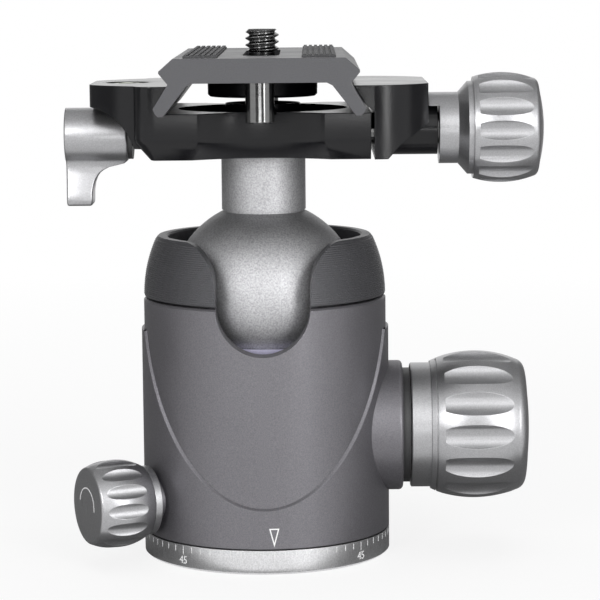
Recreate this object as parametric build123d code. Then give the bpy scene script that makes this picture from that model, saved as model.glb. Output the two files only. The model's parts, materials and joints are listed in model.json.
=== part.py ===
from build123d import *
import os
from math import sqrt

# Tripod ball head. Millimetres, +Z up. The origin is the centre of the tripod socket in the
# underside of the base. The drop notch faces -Y, the main knob and the clamp knob point to +X.

# ---------------------------------------------------------------- clearances
running_gap = 0.08          # shafts and slides, on the radius
ball_gap = 0.12             # ball in its liner and friction ring
seat_gap = 0.1              # plate in the clamp
end_gap = 0.2               # ends of pins, screws and travelling pieces

# ---------------------------------------------------------------- base and pan bearing
base_height = 4.5
base_chamfer = 0.4
base_foot_width = 4.0           # ring that stands on the tripod
underside_recess = 0.4
pan_washer_thickness = 0.3
pan_washer_inner = 12.0
pan_washer_inset = 1.2          # inside the barrel's skin
spigot_radius = 10.0
retainer_radius = 13.0
retainer_thickness = 1.6
retainer_float = 0.4            # between the barrel's ledge and the retainer
retainer_screw_radius = 1.5
retainer_screw_head = 2.8
retainer_hole_depth = 9.0
retainer_screw_circle = 7.9
retainer_socket_radius = 1.1
retainer_socket_depth = 0.9
bush_radius = 5.8
bush_length = 12.4
bush_flange_radius = 7.6
bush_flange_thickness = 1.2
tripod_thread_radius = 4.76     # 3/8 in thread
tripod_hole_depth = 11.0

# ---------------------------------------------------------------- barrel
cavity_gap = 0.18               # round the liner
barrel_wall = 4.2
barrel_edge = 0.4
ledge_height = 10.8             # ring that the retainer holds down
relief_depth = 0.5              # front and back panels below the skin
relief_side = 0.4               # shield-shaped edge, an ellipse seen from the front
relief_low_height = 7.1         # its lowest point, above the underside
skin_band = 5.9                 # bare band above the skin
panel_wall = 1.0                # skin below the panel's surface
boss_radius = 12.45
boss_length = 2.6
boss_edge = 0.8

# ---------------------------------------------------------------- ball, liner and friction ring
ball_radius = 18.0
neck_radius = 8.0
neck_height = 26.7              # above the ball's centre
neck_foot_groove = 0.25
neck_foot_height = 0.4
liner_thickness = 1.1
liner_hole_radius = 9.0
neck_room = 0.25                # between the lowered neck and the liner's rim
friction_ring_low = 1.2         # above the ball's centre
friction_ring_high = 5.5
cup_wall = 1.36
cup_rim_drop = 10.3             # below the ball's centre

# ---------------------------------------------------------------- collar
collar_seam = 0.5
collar_height = 11.3
collar_middle_height = 6.2
collar_set_back = 0.65          # foot of the collar inside the barrel's skin
collar_lean = 0.75              # from its foot to its middle
collar_top_wall = 2.1
collar_mouth_gap = 0.4          # round the ball
collar_skirt_wall = 1.6
collar_skirt_depth = 3.2
collar_lip = 0.35
barrel_top_drop = 0.1           # barrel's top below the ball's centre

# ---------------------------------------------------------------- drop notch
notch_inner_half = 8.3          # deep inside the ball
notch_outer_half = 9.0          # at the outside
notch_flare = 6.0               # round of the notch mouth at the rim

# ---------------------------------------------------------------- ball lock
lock_block_height = 10.0
block_float = 0.4               # above the retainer
main_axis_height = 5.8          # above the lock block's underside
post_radius = 5.0
post_reach = 3.4                # below the knob's axis
cup_travel = 0.4
plunger_radius = 3.6
plunger_tip_x = 3.5
plunger_back_gap = 2.2          # inside the cavity wall
plunger_travel = 0.75
spindle_nose_radius = 2.5
spindle_nose_reach = 6.6        # inside the plunger
spring_outer = 4.6
spring_inner = 1.6
spring_height = 0.7
spring_thickness = 0.3

# ---------------------------------------------------------------- knobs in common
flute_count = 14
flute_run = 0.86                # flute cutter, share of the grip's length
round_over = 1.5                # rounded end of a grip, radial size over axial size
spindle_share = 0.6             # depth of a spindle in its grip, share of the grip's length

# ---------------------------------------------------------------- main knob, along +X
main_spindle_radius = 4.2
spindle_bush_radius = 6.0
spacer_radius = 11.0
spacer_bore_gap = 0.8
spacer_thickness = 1.4
main_knob_gap = 0.1
main_sleeve_radius = 11.95
main_sleeve_length = 3.8
main_sleeve_lip = 1.6
main_grip_left_radius = 12.3
main_grip_radius = 14.2
main_grip_right_radius = 12.6
main_grip_length = 18.1
main_grip_edge = 1.7
main_band_width = 0.9
main_band_rise = 0.4
main_seam_width = 0.25
main_seam_depth = 0.45
main_dome_height = 0.8
main_cap_radius = 8.6
main_cap_depth = 1.2
main_flute_radius = 3.0
main_flute_depth = 1.2

# ---------------------------------------------------------------- pan knob, front left
pan_axis_height = 7.0           # above the barrel's underside
pan_knob_angle = 27.0           # turned forward from -X
pan_bush_radius = 4.3
pan_bush_length = 1.1
pan_bush_seat = 1.6
pan_knob_gap = 0.1
pan_ring_radius = 6.5
pan_ring_thickness = 1.5
pan_ring_edge = 0.25
pan_grip_left_radius = 6.7
pan_grip_radius = 8.3
pan_grip_right_radius = 7.3
pan_grip_length = 11.0
pan_grip_edge = 0.5
pan_face_dome = 0.15
pan_flute_radius = 1.9
pan_flute_depth = 0.72
pan_spindle_radius = 2.5
pan_shoe_radius = 2.8
pan_shoe_length = 5.0
pan_shoe_travel = 0.3

# ---------------------------------------------------------------- stem top and clamp bearing
stem_washer_thickness = 0.3
stem_washer_inset = 0.2
clamp_journal_radius = 6.0
stem_disc_radius = 6.9
stem_disc_thickness = 3.0
stem_disc_depth = 2.0           # of it below the clamp's channel floor
stem_screw_radius = 2.0
stem_screw_head = 3.6
stem_screw_length = 9.0
stem_socket_radius = 1.5
stem_socket_depth = 1.4

# ---------------------------------------------------------------- clamp
clamp_floor_height = 8.7
channel_depth = 5.0
clamp_half_length = 20.0
clamp_chamfer = 3.6             # height of the bevel under the clamp
clamp_inset = 3.4               # depth of that bevel
clamp_end_x = 31.4
clamp_end_half = 7.4
clamp_corner = 1.2
clamp_flank_x = 27.0
clamp_flank_half = 13.4
clamp_shoulder_x = 22.0
clamp_shoulder_half = 17.6
clamp_lobe_x = 19.6
clamp_lobe_round = 3.0
clamp_lobe_edge = 1.6
recess_half_width = 11.6
recess_depth = 4.5
floor_pocket_radius = 16.0
floor_pocket_depth = 0.5
scoop_radius = 8.9
scoop_out = 0.1                 # scoop's axis beyond the wing's end
scoop_rise = 1.4                # and above the underside
level_radius = 4.8
level_depth = 2.6
level_wall = 0.7
level_inset = 5.8               # from the wing's end

# ---------------------------------------------------------------- moving jaw
floor_overlap = 1.0             # clamp floor beyond the channel's wall
jaw_gap = 0.6
jaw_length = 10.1
jaw_overhang = 0.6              # in front of and behind the clamp
jaw_end_half = 12.4
jaw_flank_in = 3.8
jaw_flank_half = 18.0
jaw_travel = 3.0
jaw_foot_length = 2.5
jaw_foot_gap = 0.2
jaw_step_length = 2.2           # step between the foot and the sloping underside
jaw_step_height = 2.6
jaw_slope_height = 7.2          # outer end of the sloping underside
jaw_lip_fall = 0.8              # underside of the lip, fall over run
guide_pin_radius = 1.5
guide_pin_seat = 7.0
guide_pin_grip = 2.4            # left in the jaw when it is open
guide_pin_room = 2.0            # beyond the pin's end
guide_pin_y = 13.0
guide_pin_height = 4.9
guide_spring_radius = 2.1
guide_spring_length = 4.0

# ---------------------------------------------------------------- clamp lever, on -X
lever_axis_height = 3.8
lever_head_radius = 5.2
lever_head_depth = 5.8          # inside the clamp
lever_head_length = 11.9
lever_outer_edge = 0.6
lever_inner_edge = 0.4
lever_washer_thickness = 0.9
lever_washer_radius = 4.6
lever_pocket_gap = 0.4
paddle_length = 13.5
paddle_width = 5.3
paddle_inset = 0.25
paddle_taper = 0.3
paddle_round = 0.5
paddle_blend_radius = 4.2
paddle_half_thickness = 3.0
lever_spindle_radius = 2.2
lever_spindle_seat = 3.0
brake_radius = 2.4
brake_length = 5.0
brake_travel = 0.2

# ---------------------------------------------------------------- clamp knob, along +X
clamp_axis_height = 4.65
stub_radius = 5.0
stub_length = 2.2
sleeve_radius = 6.75
sleeve_gap = 0.3
sleeve_length = 3.6
tongue_gap = 0.5
tongue_height = 4.4
clamp_cone_length = 1.8
clamp_ring_radius = 8.8
clamp_ring_length = 1.0
clamp_grip_left_radius = 9.6
clamp_grip_radius = 10.4
clamp_grip_right_radius = 9.3
clamp_grip_length = 12.4
clamp_grip_edge = 0.9
clamp_dome_height = 1.1
clamp_flute_radius = 2.4
clamp_flute_depth = 0.95
clamp_screw_radius = 3.0
clamp_screw_reach = 7.6         # inside the clamp body
clamp_screw_room = 1.0

# ---------------------------------------------------------------- quick-release plate
plate_length = 62.0
plate_flank_height = 1.4
plate_notch_room = 0.75         # dovetail's waist above the clamp
plate_tip_rise = 1.95
plate_tip_land = 0.4
plate_edge_rise = 2.2
plate_top_half = 15.4
plate_tip_half = 17.9
plate_notch_half = 16.3
plate_bottom_half = 19.0
plate_foot_bevel = 0.9
leg_foot_inner = 17.2
leg_root_inner = 12.5
leg_root_bevel = 0.5
web_thickness = 4.4
plate_slot_half = 3.35
plate_slot_length = 36.0
pad_inner_x = 7.6
pad_outer_x = 13.7
pad_length = 56.0
pad_proud = 0.6
pad_seat = 0.6
pad_rib_count = 6
pad_rib_height = 0.25
pad_rib_share = 0.6
stop_pin_radius = 2.6
stop_pin_reach = 1.4            # below the plate's feet
stop_pin_edge = 0.25
stop_pin_inset = 3.4            # from the plate's end
stop_spigot_radius = 1.56
stop_spigot_length = 2.5

# ---------------------------------------------------------------- camera screw
camera_thread_radius = 3.175    # 1/4 in thread
camera_thread_height = 4.5      # above the plate
camera_thread_gap = 0.1
camera_shank_radius = 2.6
camera_thread_edge = 0.6
screw_head_radius = 10.4
screw_head_thickness = 3.6
screw_head_edge = 0.4
screw_head_gap = 0.1
coin_slot_width = 1.8
coin_slot_depth = 1.4

# ---------------------------------------------------------------- radii round the ball
liner_radius = ball_radius + ball_gap + liner_thickness
cavity_radius = liner_radius + cavity_gap
barrel_radius = cavity_radius + barrel_wall
base_radius = barrel_radius
relief_half_width = barrel_radius - relief_side
collar_bottom_radius = barrel_radius - collar_set_back
collar_middle_radius = collar_bottom_radius - collar_lean
collar_mouth_radius = ball_radius + collar_mouth_gap
collar_top_radius = collar_mouth_radius + collar_top_wall
collar_skirt_radius = cavity_radius + collar_skirt_wall

# ---------------------------------------------------------------- heights, from the tripod up
barrel_bottom = base_height + pan_washer_thickness
ledge_top = barrel_bottom + ledge_height
spigot_top = ledge_top + retainer_float
retainer_top = spigot_top + retainer_thickness
pan_axis_z = barrel_bottom + pan_axis_height
lock_block_bottom = retainer_top + block_float
lock_block_top = lock_block_bottom + lock_block_height
main_axis_z = lock_block_bottom + main_axis_height
post_bottom = main_axis_z - post_reach
cup_bottom = lock_block_top + cup_travel + end_gap
ball_centre_z = cup_bottom + cup_wall + liner_radius + ball_gap
cup_rim_z = ball_centre_z - cup_rim_drop
liner_rim_z = ball_centre_z - neck_radius - neck_room
friction_ring_bottom = ball_centre_z + friction_ring_low
friction_ring_top = ball_centre_z + friction_ring_high
barrel_top = ball_centre_z - barrel_top_drop
skin_top = barrel_top - skin_band
collar_bottom = barrel_top + collar_seam
collar_top = collar_bottom + collar_height
neck_top = ball_centre_z + neck_height
clamp_bottom = neck_top + stem_washer_thickness
channel_floor = clamp_bottom + clamp_floor_height
clamp_top = channel_floor + channel_depth
stem_disc_bottom = channel_floor - stem_disc_depth
stem_disc_top = stem_disc_bottom + stem_disc_thickness
lever_axis_z = clamp_bottom + lever_axis_height
clamp_axis_z = clamp_bottom + clamp_axis_height
guide_pin_z = clamp_bottom + guide_pin_height
plate_bottom = channel_floor + seat_gap
plate_flank_z = plate_bottom + plate_flank_height
plate_notch_z = clamp_top + plate_notch_room + seat_gap
plate_tip_z = plate_notch_z + plate_tip_rise
plate_top = plate_tip_z + plate_tip_land + plate_edge_rise
web_bottom = plate_top - web_thickness
stop_pin_bottom = plate_bottom - stop_pin_reach

# ---------------------------------------------------------------- places along the knobs' axes
boss_end_x = barrel_radius + boss_length
main_sleeve_x = boss_end_x + spacer_thickness + main_knob_gap
main_grip_x = main_sleeve_x + main_sleeve_length
main_grip_end_x = main_grip_x + main_grip_length
plunger_end_x = cavity_radius - plunger_back_gap
spindle_nose_x = plunger_end_x - spindle_nose_reach
pan_ring_start = barrel_radius + pan_bush_length + pan_knob_gap
pan_grip_start = pan_ring_start + pan_ring_thickness
pan_shoe_end = spigot_radius + running_gap + pan_shoe_length
channel_half = plate_bottom_half + seat_gap
body_right_x = channel_half + floor_overlap
jaw_inner_x = body_right_x + jaw_gap
jaw_end_x = jaw_inner_x + jaw_length
jaw_foot_x = jaw_inner_x + jaw_foot_length
stub_end_x = jaw_end_x + stub_length
tongue_x = jaw_end_x + tongue_gap
sleeve_left_x = stub_end_x + sleeve_gap
sleeve_right_x = sleeve_left_x + sleeve_length
clamp_cone_x = sleeve_right_x + clamp_cone_length
clamp_grip_x = clamp_cone_x + clamp_ring_length
clamp_screw_tip_x = body_right_x - clamp_screw_reach
guide_pin_start_x = body_right_x - guide_pin_seat
guide_pin_length = guide_pin_seat + jaw_gap + jaw_travel + guide_pin_grip
lever_head_right_x = lever_head_depth - clamp_end_x
lever_head_left_x = lever_head_right_x - lever_head_length
lever_washer_x = lever_head_right_x + lever_washer_thickness
brake_start_x = -clamp_journal_radius - running_gap - brake_length
level_x = level_inset - clamp_end_x
stop_pin_y = plate_length / 2 - stop_pin_inset

# ---------------------------------------------------------------- shared shapes


def turned(points):
    """Solid of revolution about Z from a closed outline of (radius, height) corners."""
    outline = make_face(Polyline(*points, close=True))
    return revolve(Plane.XZ * outline, Axis.Z)


def disc(radius, bottom, top, bore=0.0):
    """Disc or ring between two heights on the Z axis."""
    solid = Pos(0, 0, bottom) * Cylinder(radius, top - bottom, align=(Align.CENTER, Align.CENTER, Align.MIN))
    if bore > 0:
        solid -= Pos(0, 0, bottom) * Cylinder(bore, top - bottom, align=(Align.CENTER, Align.CENTER, Align.MIN))
    return solid


def rod_x(radius, start, end, z, y=0.0):
    """Round bar along X at height z."""
    bar = Cylinder(radius, end - start, align=(Align.CENTER, Align.CENTER, Align.MIN))
    return Pos(start, y, z) * Rot(0, 90, 0) * bar


def block(x0, x1, y0, y1, z0, z1):
    """Box between two corners."""
    return Pos((x0 + x1) / 2, (y0 + y1) / 2, (z0 + z1) / 2) * Box(x1 - x0, y1 - y0, z1 - z0)


def along_x(solid, z):
    """Places a part that was turned about Z so that its axis points to +X at height z."""
    return Pos(0, 0, z) * Rot(0, 90, 0) * solid


def along_pan(solid):
    """Places a part that was turned about Z on the pan knob's axis."""
    return Pos(0, 0, pan_axis_z) * Rot(0, 0, 180 + pan_knob_angle) * Rot(0, 90, 0) * solid


def dome_arc(radius, height, dome):
    """Arc from the edge of a domed end to its middle on the axis."""
    sphere = (radius**2 + dome**2) / (2 * dome)
    middle = height + dome - sphere + sqrt(sphere**2 - 0.25 * radius**2)
    return ThreePointArc((radius, height), (0.5 * radius, middle), (0, height + dome))


def fluted_grip(
    start, length, left_radius, radius, right_radius, edge, dome, flute_radius, flute_depth, bore, bore_end
):
    """Barrel-shaped grip about Z with lens-shaped flutes, hollow for its spindle."""
    end = start + length
    belly = start + 0.5 * length
    side = ThreePointArc((left_radius, start), (radius, belly), (right_radius, end - edge))
    shoulder = right_radius - round_over * edge
    bend = (right_radius - (1 - sqrt(0.5)) * (right_radius - shoulder), end - (1 - sqrt(0.5)) * edge)
    round_edge = ThreePointArc((right_radius, end - edge), bend, (shoulder, end))
    face_arc = dome_arc(shoulder, end, dome)
    closing = Polyline((0, end + dome), (0, start), (left_radius, start))
    grip = revolve(Plane.XZ * make_face(side + round_edge + face_arc + closing), Axis.Z)
    cutter_centre = radius - flute_depth + flute_radius
    cutter = Cylinder(flute_radius, flute_run * length, align=(Align.CENTER, Align.CENTER, Align.MIN))
    cutter = Pos(cutter_centre, 0, start + 0.5 * (1 - flute_run) * length + 0.01 * length) * cutter
    for index in range(flute_count):
        grip -= Rot(0, 0, (index + 0.5) * 360 / flute_count) * cutter
    return grip - disc(bore, start, bore_end)


def flat_head_screw(radius, head_radius, top, length):
    """Screw about Z with a 45 degree head under the height top."""
    return turned([
        (0, top),
        (head_radius, top),
        (radius, top - head_radius + radius),
        (radius, top - length),
        (0, top - length),
    ])


def notch_outline(half_width, y):
    """U-shaped notch outline with rounded mouth, on a plane facing -Y."""
    top = collar_top + collar_lip
    mouth = half_width + notch_flare
    straight_top = collar_top - notch_flare
    bend = notch_flare * (1 - sqrt(0.5))
    outline = [
        ThreePointArc(
            (-half_width, ball_centre_z), (0, ball_centre_z - half_width), (half_width, ball_centre_z)
        ),
        Line((half_width, ball_centre_z), (half_width, straight_top)),
        ThreePointArc(
            (half_width, straight_top), (half_width + bend, collar_top - bend), (mouth, collar_top)
        ),
        Polyline((mouth, collar_top), (mouth, top), (-mouth, top), (-mouth, collar_top)),
        ThreePointArc(
            (-mouth, collar_top), (-half_width - bend, collar_top - bend), (-half_width, straight_top)
        ),
        Line((-half_width, straight_top), (-half_width, ball_centre_z)),
    ]
    return Plane(origin=(0, y, 0), x_dir=(1, 0, 0), z_dir=(0, -1, 0)) * make_face(outline)


def notch_cutter():
    """Cutter of the drop notch, a little wider outside than at the ball."""
    inner = notch_outline(notch_inner_half, -0.5 * ball_radius)
    outer = notch_outline(notch_outer_half, -barrel_radius - barrel_wall)
    return loft([inner, outer])


# ---------------------------------------------------------------- base


def pan_base():
    spigot = disc(spigot_radius, base_height, spigot_top)
    ring = disc(base_radius, 0, base_height)
    ring = chamfer(ring.edges().group_by(Axis.Z)[0], base_chamfer)
    underside = disc(base_radius - base_foot_width, 0, underside_recess, bush_flange_radius + base_foot_width)
    bore = disc(bush_radius, 0, spigot_top)
    flange_seat = disc(bush_flange_radius, 0, bush_flange_thickness)
    base = ring + spigot - underside - bore - flange_seat
    for angle in range(0, 360, 120):
        hole = disc(retainer_screw_radius, spigot_top - retainer_hole_depth, spigot_top)
        base -= Rot(0, 0, angle) * Pos(retainer_screw_circle, 0, 0) * hole
    return base


def tripod_bush():
    body = disc(bush_radius, 0, bush_length) + disc(bush_flange_radius, 0, bush_flange_thickness)
    return body - disc(tripod_thread_radius, 0, tripod_hole_depth)


def pan_retainer():
    plate = disc(retainer_radius, spigot_top, retainer_top, bush_radius)
    for angle in range(0, 360, 120):
        plate -= Rot(0, 0, angle) * Pos(retainer_screw_circle, 0, 0) * retainer_screw_body()
    return plate


def retainer_screw_body():
    """Flat-head screw without its socket, flush with the retainer."""
    length = retainer_thickness + retainer_hole_depth - end_gap
    return flat_head_screw(retainer_screw_radius, retainer_screw_head, retainer_top, length)


def retainer_screw(angle):
    hexagon = RegularPolygon(retainer_socket_radius, 6)
    socket = extrude(Pos(0, 0, retainer_top) * hexagon, -retainer_socket_depth)
    return Rot(0, 0, angle) * Pos(retainer_screw_circle, 0, 0) * (retainer_screw_body() - socket)


# ---------------------------------------------------------------- housing


def pan_washer():
    return disc(barrel_radius - pan_washer_inset, base_height, barrel_bottom, pan_washer_inner)


def barrel():
    panel_radius = barrel_radius - relief_depth
    core = disc(panel_radius, barrel_bottom, barrel_top)
    core = chamfer(core.edges().group_by(Axis.Z)[-1], barrel_edge)
    skin = disc(barrel_radius, barrel_bottom, skin_top, panel_radius - panel_wall)
    relief_half_height = collar_bottom - barrel_bottom - relief_low_height
    shield = Plane.XZ * Pos(0, collar_bottom) * Ellipse(relief_half_width, relief_half_height)
    skin -= extrude(shield, 2 * barrel_radius, both=True)
    boss = rod_x(boss_radius, 0, boss_end_x, main_axis_z)
    boss = fillet(boss.edges().group_by(Axis.X)[-1], boss_edge)
    body = core + skin + boss
    body -= disc(cavity_radius, ledge_top, barrel_top)
    body -= disc(collar_skirt_radius + running_gap, barrel_top - collar_skirt_depth, barrel_top)
    body -= disc(spigot_radius + running_gap, barrel_bottom, ledge_top)
    body -= notch_cutter()
    body -= rod_x(spindle_bush_radius, 0, boss_end_x, main_axis_z)
    shoe_bore = disc(pan_shoe_radius + running_gap, 0, barrel_radius - pan_bush_seat)
    spindle_bore = disc(pan_spindle_radius + running_gap, 0, 2 * barrel_radius)
    return body - along_pan(shoe_bore) - along_pan(spindle_bore)


def collar():
    side = ThreePointArc(
        (collar_bottom_radius, collar_bottom),
        (collar_middle_radius, collar_bottom + collar_middle_height),
        (collar_top_radius, collar_top - collar_lip),
    )
    skirt_bottom = barrel_top - collar_skirt_depth
    rest = Polyline(
        (collar_top_radius, collar_top - collar_lip),
        (collar_top_radius - collar_lip, collar_top),
        (collar_mouth_radius + collar_lip, collar_top),
        (collar_mouth_radius, collar_top - collar_lip),
        (collar_mouth_radius, friction_ring_top),
        (cavity_radius, friction_ring_top),
        (cavity_radius, skirt_bottom),
        (collar_skirt_radius, skirt_bottom),
        (collar_skirt_radius, collar_bottom),
        (collar_bottom_radius, collar_bottom),
    )
    return revolve(Plane.XZ * make_face(side + rest), Axis.Z) - notch_cutter()


def sphere_at_ball(radius):
    return Pos(0, 0, ball_centre_z) * Sphere(radius)


def friction_ring():
    ring = disc(cavity_radius - running_gap, friction_ring_bottom, friction_ring_top, neck_radius)
    return ring - sphere_at_ball(ball_radius + ball_gap) - notch_cutter()


def spring_seat():
    return post_bottom - cup_travel - spring_height


def lock_block():
    block_body = disc(cavity_radius - running_gap, lock_block_bottom, lock_block_top)
    guide = disc(post_radius + running_gap, spring_seat(), lock_block_top)
    plunger_bore = rod_x(plunger_radius + running_gap, 0, cavity_radius, main_axis_z)
    return block_body - guide - plunger_bore


def cup_spring():
    """Cone-shaped disc spring, wide end down."""
    top = spring_seat() + spring_height - running_gap
    return turned([
        (spring_outer, spring_seat()),
        (spring_outer, spring_seat() + spring_thickness),
        (spring_inner, top),
        (spring_inner, top - spring_thickness),
    ])


def main_knob_spacer():
    bore = main_spindle_radius + spacer_bore_gap
    return along_x(disc(spacer_radius, boss_end_x, boss_end_x + spacer_thickness, bore), main_axis_z)


def spindle_bush():
    bore = main_spindle_radius + running_gap
    return along_x(disc(spindle_bush_radius, cavity_radius + 2 * end_gap, boss_end_x, bore), main_axis_z)


def pan_knob_bush():
    outer = barrel_radius + pan_bush_length
    bush = disc(pan_bush_radius, barrel_radius - pan_bush_seat, outer, pan_spindle_radius + running_gap)
    return along_pan(bush) - disc(barrel_radius, 0, barrel_top)


# ---------------------------------------------------------------- ball lock


def wedge_side(middle_x, side):
    """Everything left (-1) or right (+1) of the 45 degree wedge face through middle_x on the knob's axis."""
    reach = 2 * main_axis_height
    low = (middle_x - reach, main_axis_z - reach)
    high = (middle_x + reach, main_axis_z + reach)
    corner = (high[0], low[1]) if side > 0 else (low[0], high[1])
    return extrude(Plane.XZ * make_face(Polyline(low, high, corner, close=True)), reach, both=True)


def lock_plunger():
    nose_hole = rod_x(
        spindle_nose_radius + running_gap, spindle_nose_x - plunger_travel - end_gap, plunger_end_x, main_axis_z
    )
    body = rod_x(plunger_radius, plunger_tip_x - 2 * plunger_radius, plunger_end_x, main_axis_z)
    return body - wedge_side(plunger_tip_x, -1) - nose_hole


def ball_cup():
    bowl = disc(cavity_radius - running_gap, cup_bottom, cup_rim_z) - sphere_at_ball(liner_radius + ball_gap)
    post = disc(post_radius, post_bottom, cup_bottom) - wedge_side(plunger_tip_x - running_gap, 1)
    return bowl + post


def slip_liner():
    shell = sphere_at_ball(liner_radius) - sphere_at_ball(ball_radius + ball_gap)
    keep = disc(2 * liner_radius, ball_centre_z - liner_radius, liner_rim_z, liner_hole_radius)
    return shell & keep


# ---------------------------------------------------------------- main knob


def main_knob_spindle():
    shoulder = cavity_radius + end_gap
    end = main_grip_x + spindle_share * main_grip_length
    outline = [
        (0, spindle_nose_x),
        (spindle_nose_radius, spindle_nose_x),
        (spindle_nose_radius, shoulder),
        (main_spindle_radius, shoulder),
        (main_spindle_radius, end),
        (0, end),
    ]
    return along_x(turned(outline), main_axis_z)


def main_knob_sleeve():
    """Sleeve with a hollow face towards the boss."""
    hollow = main_sleeve_radius - 0.6 * main_sleeve_lip
    outline = [
        (main_spindle_radius, main_sleeve_x + main_sleeve_lip),
        (hollow, main_sleeve_x + main_sleeve_lip),
        (hollow + end_gap, main_sleeve_x),
        (main_sleeve_radius - end_gap, main_sleeve_x),
        (main_sleeve_radius, main_sleeve_x + end_gap),
        (main_sleeve_radius, main_grip_x),
        (main_spindle_radius, main_grip_x),
    ]
    return along_x(turned(outline), main_axis_z)


def main_knob_grip():
    """Fluted grip behind a narrow band, with a fine seam between them and a seat for the cap."""
    band_end = main_grip_x + main_band_width
    body_start = band_end + main_seam_width
    body_left_radius = main_grip_left_radius + main_band_rise + 0.5 * main_seam_width
    band = turned([
        (main_spindle_radius, main_grip_x),
        (main_grip_left_radius, main_grip_x),
        (main_grip_left_radius + main_band_rise, band_end),
        (main_spindle_radius, band_end),
    ])
    seam = disc(body_left_radius - main_seam_depth, band_end, body_start, main_spindle_radius)
    grip = fluted_grip(
        body_start, main_grip_end_x - body_start, body_left_radius, main_grip_radius, main_grip_right_radius,
        main_grip_edge, main_dome_height, main_flute_radius, main_flute_depth, main_spindle_radius,
        main_grip_x + spindle_share * main_grip_length,
    )
    cap_seat = disc(main_cap_radius, main_grip_end_x - main_cap_depth, main_grip_end_x + main_dome_height)
    return along_x(band + seam + grip - cap_seat, main_axis_z)


def main_knob_cap():
    """Flush cap that carries on the dome of the grip's end."""
    shoulder = main_grip_right_radius - round_over * main_grip_edge
    sphere = (shoulder**2 + main_dome_height**2) / (2 * main_dome_height)
    top = main_grip_end_x + main_dome_height
    rim = top - sphere + sqrt(sphere**2 - main_cap_radius**2)
    seat = main_grip_end_x - main_cap_depth
    under = Polyline((0, top), (0, seat), (main_cap_radius, seat), (main_cap_radius, rim))
    dome = dome_arc(main_cap_radius, rim, top - rim)
    return along_x(revolve(Plane.XZ * make_face(dome + under), Axis.Z), main_axis_z)


# ---------------------------------------------------------------- pan knob


def pan_knob_ring():
    ring = disc(pan_ring_radius, pan_ring_start, pan_grip_start, pan_spindle_radius)
    rim = ring.edges().group_by(Axis.Z)[-1].sort_by(SortBy.LENGTH)[-1]
    return along_pan(chamfer(rim, pan_ring_edge))


def pan_spindle_end():
    return pan_grip_start + spindle_share * pan_grip_length


def pan_knob_grip():
    grip = fluted_grip(
        pan_grip_start, pan_grip_length, pan_grip_left_radius, pan_grip_radius, pan_grip_right_radius,
        pan_grip_edge, pan_face_dome, pan_flute_radius, pan_flute_depth, pan_spindle_radius, pan_spindle_end(),
    )
    return along_pan(grip)


def pan_knob_spindle():
    return along_pan(disc(pan_spindle_radius, pan_shoe_end + pan_shoe_travel + running_gap, pan_spindle_end()))


def pan_brake_shoe():
    """Pad whose hollow end bears on the spigot."""
    shoe = along_pan(disc(pan_shoe_radius, 0.8 * spigot_radius, pan_shoe_end))
    return shoe - disc(spigot_radius + running_gap, 0, ledge_top)


# ---------------------------------------------------------------- ball and stem


def ball_and_stem():
    neck = disc(neck_radius, ball_centre_z, neck_top)
    journal = disc(clamp_journal_radius, neck_top, stem_disc_bottom)
    foot_z = ball_centre_z + sqrt(ball_radius**2 - neck_radius**2)
    groove = disc(2 * neck_radius, foot_z, foot_z + neck_foot_height, neck_radius - neck_foot_groove)
    return sphere_at_ball(ball_radius) + neck + journal - groove - stem_screw_body()


def stem_washer():
    return disc(neck_radius - stem_washer_inset, neck_top, clamp_bottom, clamp_journal_radius)


def stem_retainer():
    return disc(stem_disc_radius, stem_disc_bottom, stem_disc_top) - stem_screw_body()


def stem_screw_body():
    """Flat-head screw without its socket, flush with the disc on the stem."""
    return flat_head_screw(stem_screw_radius, stem_screw_head, stem_disc_top, stem_screw_length)


def stem_screw():
    socket = extrude(Pos(0, 0, stem_disc_top) * RegularPolygon(stem_socket_radius, 6), -stem_socket_depth)
    return stem_screw_body() - socket


# ---------------------------------------------------------------- clamp


def clamp_outline(end_x, end_half, flank_x, flank_half, shoulder_x, half_length):
    """Plan of one end of the clamp, from the middle line to the end face, towards +X."""
    end_corner = end_half + clamp_corner
    return make_face([
        Line((0, -half_length), (shoulder_x, -half_length)),
        ThreePointArc((shoulder_x, -half_length), (flank_x, -flank_half), (end_x, -end_corner)),
        Line((end_x, -end_corner), (end_x, end_corner)),
        ThreePointArc((end_x, end_corner), (flank_x, flank_half), (shoulder_x, half_length)),
        Polyline((shoulder_x, half_length), (0, half_length), (0, -half_length)),
    ])


def dovetail_lip():
    """Half width of the channel at the top of the clamp, on the line of the plate's flank."""
    slope = (plate_bottom_half - plate_notch_half) / (plate_notch_z - plate_flank_z)
    return channel_half - slope * (clamp_top - plate_flank_z)


def channel_cutter():
    """Dovetail channel over the floor, open to the right."""
    lip = dovetail_lip()
    overshoot = channel_depth
    beyond = lip - overshoot * (channel_half - lip) / (clamp_top - plate_flank_z)
    outline = Polyline(
        (-beyond, clamp_top + overshoot),
        (-channel_half, plate_flank_z),
        (-channel_half, channel_floor),
        (2 * body_right_x, channel_floor),
        (2 * body_right_x, clamp_top + overshoot),
        close=True,
    )
    return extrude(Plane.XZ * make_face(outline), 2 * clamp_half_length, both=True)


def recess_arc():
    """Radius of the round recess in the clamp's front and back, and its centre's distance from the middle."""
    radius = (recess_half_width**2 + recess_depth**2) / (2 * recess_depth)
    return radius, clamp_half_length - recess_depth + radius


def underside_bevel():
    """Side profile of the clamp with its front and back lower edges bevelled."""
    shoulder = clamp_bottom + clamp_chamfer
    profile = Polyline(
        (clamp_inset - clamp_half_length, clamp_bottom),
        (clamp_half_length - clamp_inset, clamp_bottom),
        (clamp_half_length, shoulder),
        (clamp_half_length, clamp_top),
        (-clamp_half_length, clamp_top),
        (-clamp_half_length, shoulder),
        close=True,
    )
    return extrude(Plane.YZ * make_face(profile), 2 * clamp_end_x, both=True)


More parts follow.
